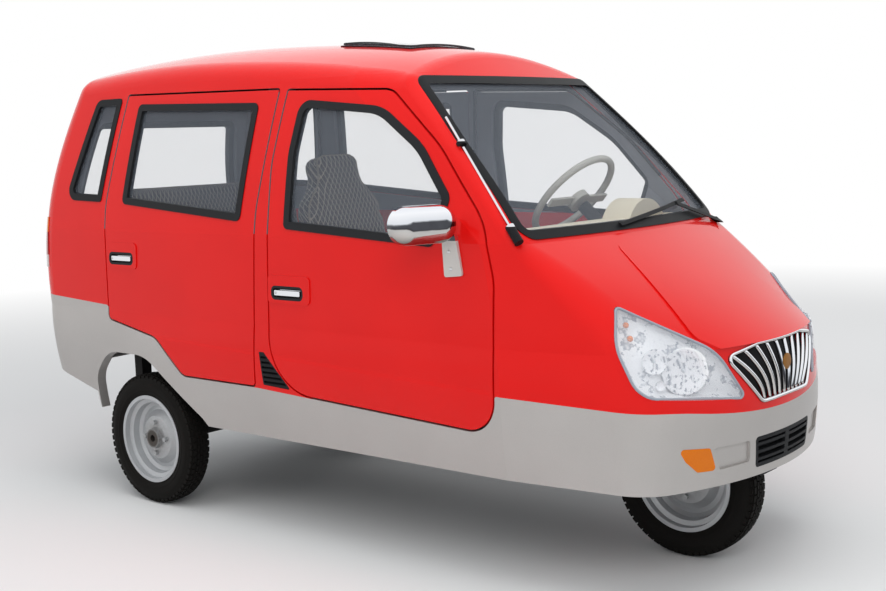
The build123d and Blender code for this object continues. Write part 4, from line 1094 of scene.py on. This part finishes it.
# %% Bulbs, bead and the left lamp
# Half sections of the bulbs: (radius, distance along the lamp's axis).
BULB_PROFILE = [(0, 0.012), (0.004, 0.011), (0.006, 0.006), (0.006, -0.02), (0, -0.02)]
AMBER_PROFILE = [(0, 0.009), (0.0063, 0.0063), (0.009, 0), (0.009, -0.012), (0, -0.012)]
AMBER_BULBS = [(1.152, 0.852), (1.158, 0.815)]
BULB_SEGMENTS = 20
BULB_BEHIND = LENS_THICKNESS + 0.035
AMBER_BEHIND = 0.026
RIM_SHARE, RIM_PROUD, RIM_RADIUS = 0.975, 0.0005, 0.0042


def bulb(name, profile, along, height, depth):
    """A bulb that looks out of the lamp."""
    place = behind_lens(along, height, depth)
    return revolved(name, profile, place, LAMP_OUT, BULB_SEGMENTS, closed=False)


def mirrored(made, name):
    """The same piece on the car's other side."""
    twin = bpy.data.objects.new(name, made.data.copy())
    bpy.context.scene.collection.objects.link(twin)
    twin.data.transform(Matrix.Diagonal((1, -1, 1, 1)))
    twin.data.flip_normals()
    return twin


pieces = [(bucket, REFLECTOR_WHITE, "lamp_chrome")]
for i, (along, height, radius, depth) in enumerate(REFLECTORS):
    dish = reflector(f"headlamp_reflector_{i}_right", along, height, radius, depth)
    white_bulb = bulb(f"headlamp_bulb_{i}_right", BULB_PROFILE, along, height, BULB_BEHIND)
    pieces += [(dish, FLUTED, "lamp_chrome"), (white_bulb, PLAIN["bulb"], "lamp_chrome")]
for i, (along, height) in enumerate(AMBER_BULBS):
    amber_bulb = bulb(f"amber_bulb_{i}_right", AMBER_PROFILE, along, height, AMBER_BEHIND)
    pieces.append((amber_bulb, PLAIN["lens_amber"], "lens_amber"))
rim_line = [lamp_place(*shrunk(p, RIM_SHARE), (on_lens(*shrunk(p, SURE_SHARE)) or 0) + RIM_PROUD)
            for p in outline]
rim = tube("headlamp_rim_right", rim_line, RIM_RADIUS)
pieces.append((rim, PLAIN["lens_rim"], "black_plastic"))
for made, material, slot_name in pieces:
    twin = mirrored(made, made.name.replace("right", "left"))
    for side in (made, twin):
        add_piece(side, material, "body")
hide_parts("headlamp_housings")
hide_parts("headlamp_housings")
print(len(pieces), "pieces in each headlamp")

# %% [markdown]
# ## Grille
# The bright grille is a rounded frame filled with upright bars that bow forward and fan out towards
# the bonnet. The bars have to follow the nose, so rays measure the front of the CAD grille, and a
# polynomial through the hits gives one smooth surface without the gaps between the solid's bars.

# %% Front of the grille
GRILLE_TREE = tree_of(frame["nodes"]["grille"])
FORWARD_FACING = 0.4
SCAN_ACROSS, SCAN_UP = np.linspace(-0.3, 0.3, 61), np.linspace(0.59, 0.765, 36)
FRONT_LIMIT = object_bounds()[1][0]


def terms(y, z):
    """Terms of the polynomial, even across the car."""
    return 1, y * y, z, z * z, y * y * z, y ** 4


def grille_surface():
    """Smooth surface through the front of the grille: X as a polynomial of Y and Z."""
    rows, fronts = [], []
    for y in SCAN_ACROSS:
        for z in SCAN_UP:
            hit, normal = GRILLE_TREE.ray_cast(Vector((FAR_OUT, y, z)), Vector((-1, 0, 0)))[:2]
            if hit is not None and normal.x > FORWARD_FACING:
                rows.append(terms(y, z))
                fronts.append(hit.x)
    factors = np.linalg.lstsq(np.array(rows), np.array(fronts), rcond=None)[0]
    return lambda y, z: float(np.dot(terms(y, z), factors))


def before_limit(x, radius):
    """X of a bead's middle, held back so that the bead stays behind the car's foremost point."""
    return min(x, FRONT_LIMIT - radius)


front = grille_surface()
print("middle of the grille at X", round(front(0, 0.69), 4))

# %% Frame and bars
# Half outline of the frame: (across, height, corner radius).
GRILLE_CORNERS = [(0.150, 0.768, 0.05), (0.306, 0.742, 0.020), (0.160, 0.586, 0.036)]
GRILLE_MIDDLE = 0.68
SURROUND_SHARE, SURROUND_SUNK, SURROUND_RADIUS = 0.975, 0.001, 0.0062
SURROUND_STEP = 0.015
BARS = 10
BAR_STEPS, BAR_SIDES = 16, 10
EDGE_GAP = 0.6          # a smaller number brings the outermost bars further in
BAR_RADIUS, BAR_SUNK, BAR_BOW = 0.0070, 0.010, 0.008
BAR_FOOT, BAR_TOP = 0.592, 0.762
BAR_SPREAD, BAR_FAN, BAR_FLARE = 0.142, 0.135, 1.5     # reach of the outermost bars at the foot
TOP_FLAT, TOP_SLOPE = 0.150, 0.167                     # the frame's top falls beyond the flat


def bar_line(share):
    """A bar from the bottom of the grille to its top, bowed forward and fanned outwards."""
    top = BAR_TOP - max(0, abs(share) * (BAR_SPREAD + BAR_FAN) - TOP_FLAT) * TOP_SLOPE
    points = []
    for step in range(BAR_STEPS + 1):
        t = step / BAR_STEPS
        y = share * (BAR_SPREAD + BAR_FAN * t ** BAR_FLARE)
        z = BAR_FOOT + (top - BAR_FOOT) * t
        x = front(y, z) - BAR_SUNK + BAR_BOW * math.sin(math.pi * t)
        points.append(Vector((before_limit(x, BAR_RADIUS), y, z)))
    return points


def grille_piece(made):
    """Finish one bright piece that takes the CAD grille's place."""
    add_piece(made, CHROME, "body")
    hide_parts("grille")


both_sides = GRILLE_CORNERS + [(-y, z, r) for y, z, r in reversed(GRILLE_CORNERS)]
grille_piece(tube("grille_surround", [
    (before_limit(front(p.x, p.y) - SURROUND_SUNK, SURROUND_RADIUS), p.x * SURROUND_SHARE,
     GRILLE_MIDDLE + (p.y - GRILLE_MIDDLE) * SURROUND_SHARE)
    for p in dense(rounded(both_sides), SURROUND_STEP)], SURROUND_RADIUS))
for k in range(BARS):
    line = bar_line((2 * k + 1 - BARS) / (BARS - EDGE_GAP))
    grille_piece(tube(f"grille_bar_{k}", line, BAR_RADIUS, closed=False, sides=BAR_SIDES))
print(BARS, "grille bars")

# %% [markdown]
# ## Grille disc and hatch bead
# A plain bronze disc covers the middle of the grille, with nothing on it. The roof hatch's glass
# gets the black rubber bead that frames it, laid on the pane by rays from above.

# %% Disc and bead
DISC_BACK = 0.0042       # keeps the disc's face just behind the car's foremost point
DISC_PLACE = (FRONT_LIMIT - DISC_BACK, 0, 0.690)
DISC_PROFILE = [(0, 0.004), (0.012, 0.0038), (0.022, 0.003), (0.0255, 0.001), (0.026, -0.003),
                (0, -0.003)]
disc = revolved("grille_disc", DISC_PROFILE, DISC_PLACE, (1, 0, 0), segments=48, closed=False)
add_piece(disc, PLAIN["bronze"], "body")

PANE_INSET, PANE_CORNER = 0.004, 0.022
BEAD_RADIUS, BEAD_SUNK, BEAD_STEP = 0.0042, 0.001, 0.02
SEAL = PLAIN["seal_rubber"]
PANE_TREE = tree_of(frame["nodes"]["hatch_pane"])
hatch_low, hatch_high = (Vector(corner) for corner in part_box("hatch_pane"))


def on_pane(x, y):
    """Top of the hatch pane at one place, or None beside it."""
    return PANE_TREE.ray_cast(Vector((x, y, FAR_OUT)), Vector((0, 0, -1)))[0]


x0, y0 = hatch_low.x + PANE_INSET, hatch_low.y + PANE_INSET
x1, y1 = hatch_high.x - PANE_INSET, hatch_high.y - PANE_INSET
pane_line = rounded([(x, y, PANE_CORNER) for x, y in ((x0, y0), (x1, y0), (x1, y1), (x0, y1))])
hits = [on_pane(p.x, p.y) for p in dense(pane_line, BEAD_STEP)]
bead_line = [hit - Vector((0, 0, BEAD_SUNK)) for hit in hits if hit]
add_piece(tube("hatch_bead", bead_line, BEAD_RADIUS), SEAL, "body")
print("hatch bead has", len(bead_line), "points")

# %% [markdown]
# ## Door weatherstrips
# Round rubber strips lie inside the upper door edges and close the shut lines to light. Each
# follows its doorway's rounded outline, a wall's thickness in from the door's outer face, which
# rays from the side measure. The strips belong to the body. They stop short of the hinge edges,
# which swing inwards when a door opens.

# %% Weatherstrips
DOOR_WALL = 0.040
STRIP_RADIUS = 0.0065
STRIP_GAP = 0.001
STRIP_STEP = 0.02
NEAR_EDGE = 0.02        # how far inside its edge the door's face is measured
# Outlines of the doorways: (station, height, corner radius).
FRONT_DOORWAY = [(0.790, 1.610, 0.014), (1.275, 1.590, 0.100), (1.512, 1.396, 0.500),
                 (1.712, 1.160, 0.260), (1.758, 0.980, 0.200), (1.758, 0.494, 0.110),
                 (0.742, 0.544, 0.100), (0.742, 1.345, 0.400)]
REAR_DOORWAY = [(0.755, 1.614, 0.014), (0.682, 1.180, 0.500), (0.665, 0.541, 0.020),
                (0.249, 0.541, 0.067), (0.092, 0.680, 0.090), (-0.203, 0.735, 0.030),
                (-0.217, 1.190, 0.400), (-0.127, 1.630, 0.014)]
STRIPS = {
    # door: (doorway, which of its points get a strip)
    "front_door": (FRONT_DOORWAY,
                   lambda p: (p.y > 1.25 and p.x < 1.64) or (p.x < 0.80 and p.y > 0.76)),
    "rear_door": (REAR_DOORWAY, lambda p: p.x < 0.64 and p.y > 0.80),
}


def stretch(line, wanted):
    """The unbroken stretch of a closed line whose points are wanted, with close steps."""
    first = next(i for i, p in enumerate(line) if wanted(p) and not wanted(line[i - 1]))
    kept = []
    for step in range(len(line)):
        here, following = line[(first + step) % len(line)], line[(first + step + 1) % len(line)]
        if not wanted(here):
            break
        parts = max(1, int((following - here).length / STRIP_STEP))
        between = [here.lerp(following, k / parts) for k in range(parts)]
        kept += [point for point in between if wanted(point)]
    return kept


def strip_line(doorway, wanted, panel, side):
    """Points of a strip behind one doorway's edge."""
    tree = tree_of(frame["nodes"][panel])
    middle = sum((Vector(corner[:2]) for corner in doorway), Vector((0, 0))) / len(doorway)
    points = []
    for p in stretch(rounded(doorway), wanted):
        near = p + (middle - p).normalized() * NEAR_EDGE
        hit = tree.ray_cast(Vector((at(near.x), side * 2, near.y)), Vector((0, -side, 0)))[0]
        if hit is not None:
            inner = hit.y - side * (DOOR_WALL + STRIP_RADIUS + STRIP_GAP)
            points.append(Vector((at(p.x), inner, p.y)))
    return points


for side, word in SIDES:
    for door, (doorway, wanted) in STRIPS.items():
        points = strip_line(doorway, wanted, f"{door}_{word}_panel", side)
        strip = tube(f"{door}_strip_{word}", points, STRIP_RADIUS, closed=False)
        add_piece(strip, SEAL, "body")
        print(strip.name, len(points), "points")

# %% [markdown] ## Seats Each cushion starts as a plain closed pad, a little smaller than the real
# one. It is remeshed into small even faces and blown up as cloth under pressure, with each point's
# travel capped, and then relaxed so that no face stays creased.

# %% Pad shapes
VOXEL = 0.012
LAST_FRAME = 14
PRESSURE = 4
TENSION = 12
RELAX_STEPS = 4


def pad_object(name, outline, lean, thickness):
    """A closed slab: the outline in a plane, half its thickness to each side."""
    count = len(outline)
    vertices = [lean @ Vector((0, across, up)) + lean.to_3x3() @ Vector((half, 0, 0))
                for half in (-thickness / 2, thickness / 2) for across, up in outline]
    faces = [tuple(range(count))[::-1], tuple(range(count, 2 * count))]
    faces += [(i, (i + 1) % count, count + (i + 1) % count, count + i) for i in range(count)]
    return outward(new_object(name, vertices, faces))


def points_of(made):
    """The vertices of a mesh as an array."""
    flat = np.empty(len(made.data.vertices) * 3)
    made.data.vertices.foreach_get("co", flat)
    return flat.reshape(-1, 3)


def plump(made, cap, low):
    """Swell a pad like stuffed cloth: no point moves more than cap or sinks below low."""
    grid = made.modifiers.new("grid", "REMESH")
    grid.mode = "VOXEL"
    grid.voxel_size = VOXEL
    frozen(made)
    start = points_of(made)
    cloth = made.modifiers.new("stuffing", "CLOTH")
    cloth.settings.use_pressure = True
    cloth.settings.uniform_pressure_force = PRESSURE
    cloth.settings.effector_weights.gravity = 0
    cloth.settings.tension_stiffness = TENSION
    cloth.point_cache.frame_start = 1
    cloth.point_cache.frame_end = LAST_FRAME
    for moment in range(1, LAST_FRAME + 1):
        scene.frame_set(moment)
    frozen(made)
    scene.frame_set(1)
    travel = points_of(made) - start
    length = np.linalg.norm(travel, axis=1, keepdims=True)
    moved = start + travel * np.minimum(1, cap / np.maximum(length, 1e-9))
    moved[:, 2] = np.maximum(moved[:, 2], low)
    made.data.vertices.foreach_set("co", moved.ravel())
    relax = made.modifiers.new("relax", "SMOOTH")
    relax.iterations = RELAX_STEPS
    frozen(made)
    finer = made.modifiers.new("finer", "SUBSURF")
    finer.levels = 1
    return frozen(made)


print("pads swell over", LAST_FRAME, "frames")

# %% [markdown]
# The right front seat has a tall back with a narrow headrest, the left one a low back, and the
# bench runs the full width. A back leans, and a cushion is the same pad laid flat. Piping runs
# round the front of each pad, where its nearest points lie on the swollen skin.

# %% Seat lines
TOO_CLOSE = 0.3         # share of a step below which a point counts as doubled


def leaning(foot, tilt, side):
    """Plane of a backrest: X is forward, Y across and Z up its lean."""
    place = Matrix.Translation((foot[0], side, foot[1]))
    return place @ Matrix.Rotation(-math.radians(tilt), 4, "Y")


def both_ways(half):
    """A half outline, given as (half width, up, radius), mirrored into a whole one."""
    return rounded(list(half) + [(-w, u, r) for w, u, r in reversed(half)])


def even(line, step):
    """A closed line with points about a step apart and no doubled ones."""
    points = dense(line, step, round)
    return [p for i, p in enumerate(points) if (p - points[i - 1]).length > step * TOO_CLOSE]


FLAT = -90
BACK_TILT = 11
SEAT_ACROSS = 0.3
BACK_THICKNESS = 0.074
FRONT_FOOT = (at(0.868), 0.655)
FRONT_CUSHION = ([(0.226, -0.238, 0.05), (0.226, 0.238, 0.05)], (at(1.07), 0.6525), FLAT)
BENCH_FOOT = (at(-0.225), 0.640)
HIGH_BACK = [(0.214, 0.02, 0.03), (0.212, 0.41, 0.06), (0.196, 0.545, 0.06), (0.122, 0.63, 0.05),
             (0.106, 0.732, 0.04)]
LOW_BACK = [(0.214, 0.02, 0.03), (0.210, 0.37, 0.06), (0.184, 0.478, 0.05)]
BENCH_BACK = [(0.506, 0.02, 0.03), (0.492, 0.626, 0.05)]
BENCH_SEAT = [(0.538, -0.262, 0.05), (0.538, 0.262, 0.05)]
print("a high back has", len(both_ways(HIGH_BACK)), "points round it")

# %% Front seats and bench
PADS = {
    # name: (half outline, foot, tilt, across, thickness, lowest height)
    "front_seat_back_right": (HIGH_BACK, FRONT_FOOT, BACK_TILT, -SEAT_ACROSS, BACK_THICKNESS, 0.60),
    "front_seat_back_left": (LOW_BACK, FRONT_FOOT, BACK_TILT, SEAT_ACROSS, BACK_THICKNESS, 0.60),
    "rear_bench_back": (BENCH_BACK, BENCH_FOOT, BACK_TILT, 0.0, BACK_THICKNESS, 0.62),
    "front_seat_cushion_right": (*FRONT_CUSHION, -SEAT_ACROSS, 0.103, 0.591),
    "front_seat_cushion_left": (*FRONT_CUSHION, SEAT_ACROSS, 0.103, 0.591),
    "rear_bench_cushion": (BENCH_SEAT, (at(0.045), 0.700), FLAT, 0.0, 0.138, 0.621),
}
SWELL_CAP = 0.012
SEAM_SHARE, SEAM_STEP, PIPING_RADIUS = 1.02, 0.012, 0.0040
for name, (half, foot, tilt, across, thickness, low) in PADS.items():
    line = both_ways(half)
    plane = leaning(foot, tilt, across)
    pad = plump(pad_object(name, line, plane, thickness), SWELL_CAP, low)
    add_piece(pad, FABRIC, "body")
    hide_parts("rear_bench" if "bench" in name else "front_seats")
    skin = tree_of(pad)
    seam = [skin.find_nearest(plane @ Vector((thickness / 2, p.x * SEAM_SHARE, p.y)))[0]
            for p in even(line, SEAM_STEP)]
    piping = tube(name + "_piping", seam, PIPING_RADIUS)
    add_piece(piping, PLAIN["seat_piping"], "body")
most = max(len(bpy.data.objects[name].data.polygons) for name in PADS)
print(len(PADS), "pads, largest", most, "faces")

# %% [markdown]
# ## Small fittings
# Two domed screws hold each mirror's bracket to its door, and a small round lock sits at the
# rear end of each door handle. Both are the same turned dome, placed on the face that carries it.

# %% Screws and locks
MIRROR_SCREWS = ((1.594, 1.012), (1.588, 1.066))        # station and height
BRACKET_FACE = 0.6585
SCREW_RADIUS, LOCK_RADIUS = 0.0065, 0.0055
LOCK_BEHIND = 0.056


def screw(name, place, side, radius, body):
    """A domed head that looks out to one side."""
    profile = [(0, radius * 0.5), (radius * 0.5, radius * 0.42), (radius * 0.9, radius * 0.15),
               (radius, -0.002), (0, -0.002)]
    head = revolved(name, profile, place, (0, side, 0), 20, closed=False)
    add_piece(head, PLAIN["bright_steel"], body)


for side, word in SIDES:
    for i, (station, height) in enumerate(MIRROR_SCREWS):
        screw(f"mirror_screw_{i}_{word}", (at(station), side * BRACKET_FACE, height), side,
              SCREW_RADIUS, f"front_door_{word}")
for door, (station, height, half) in HANDLES.items():
    for side, word in SIDES:
        start = Vector((at(station - LOCK_BEHIND), side * 2, height))
        trim = tree_of(frame["nodes"][f"{door}_{word}_trim"])
        hit = trim.ray_cast(start, Vector((0, -side, 0)))[0]
        screw(f"{door}_lock_{word}", hit, side, LOCK_RADIUS, f"{door}_{word}")
print("fittings placed on", len(HANDLES) * len(SIDES), "doors")

# %% [markdown]
# ## Finish
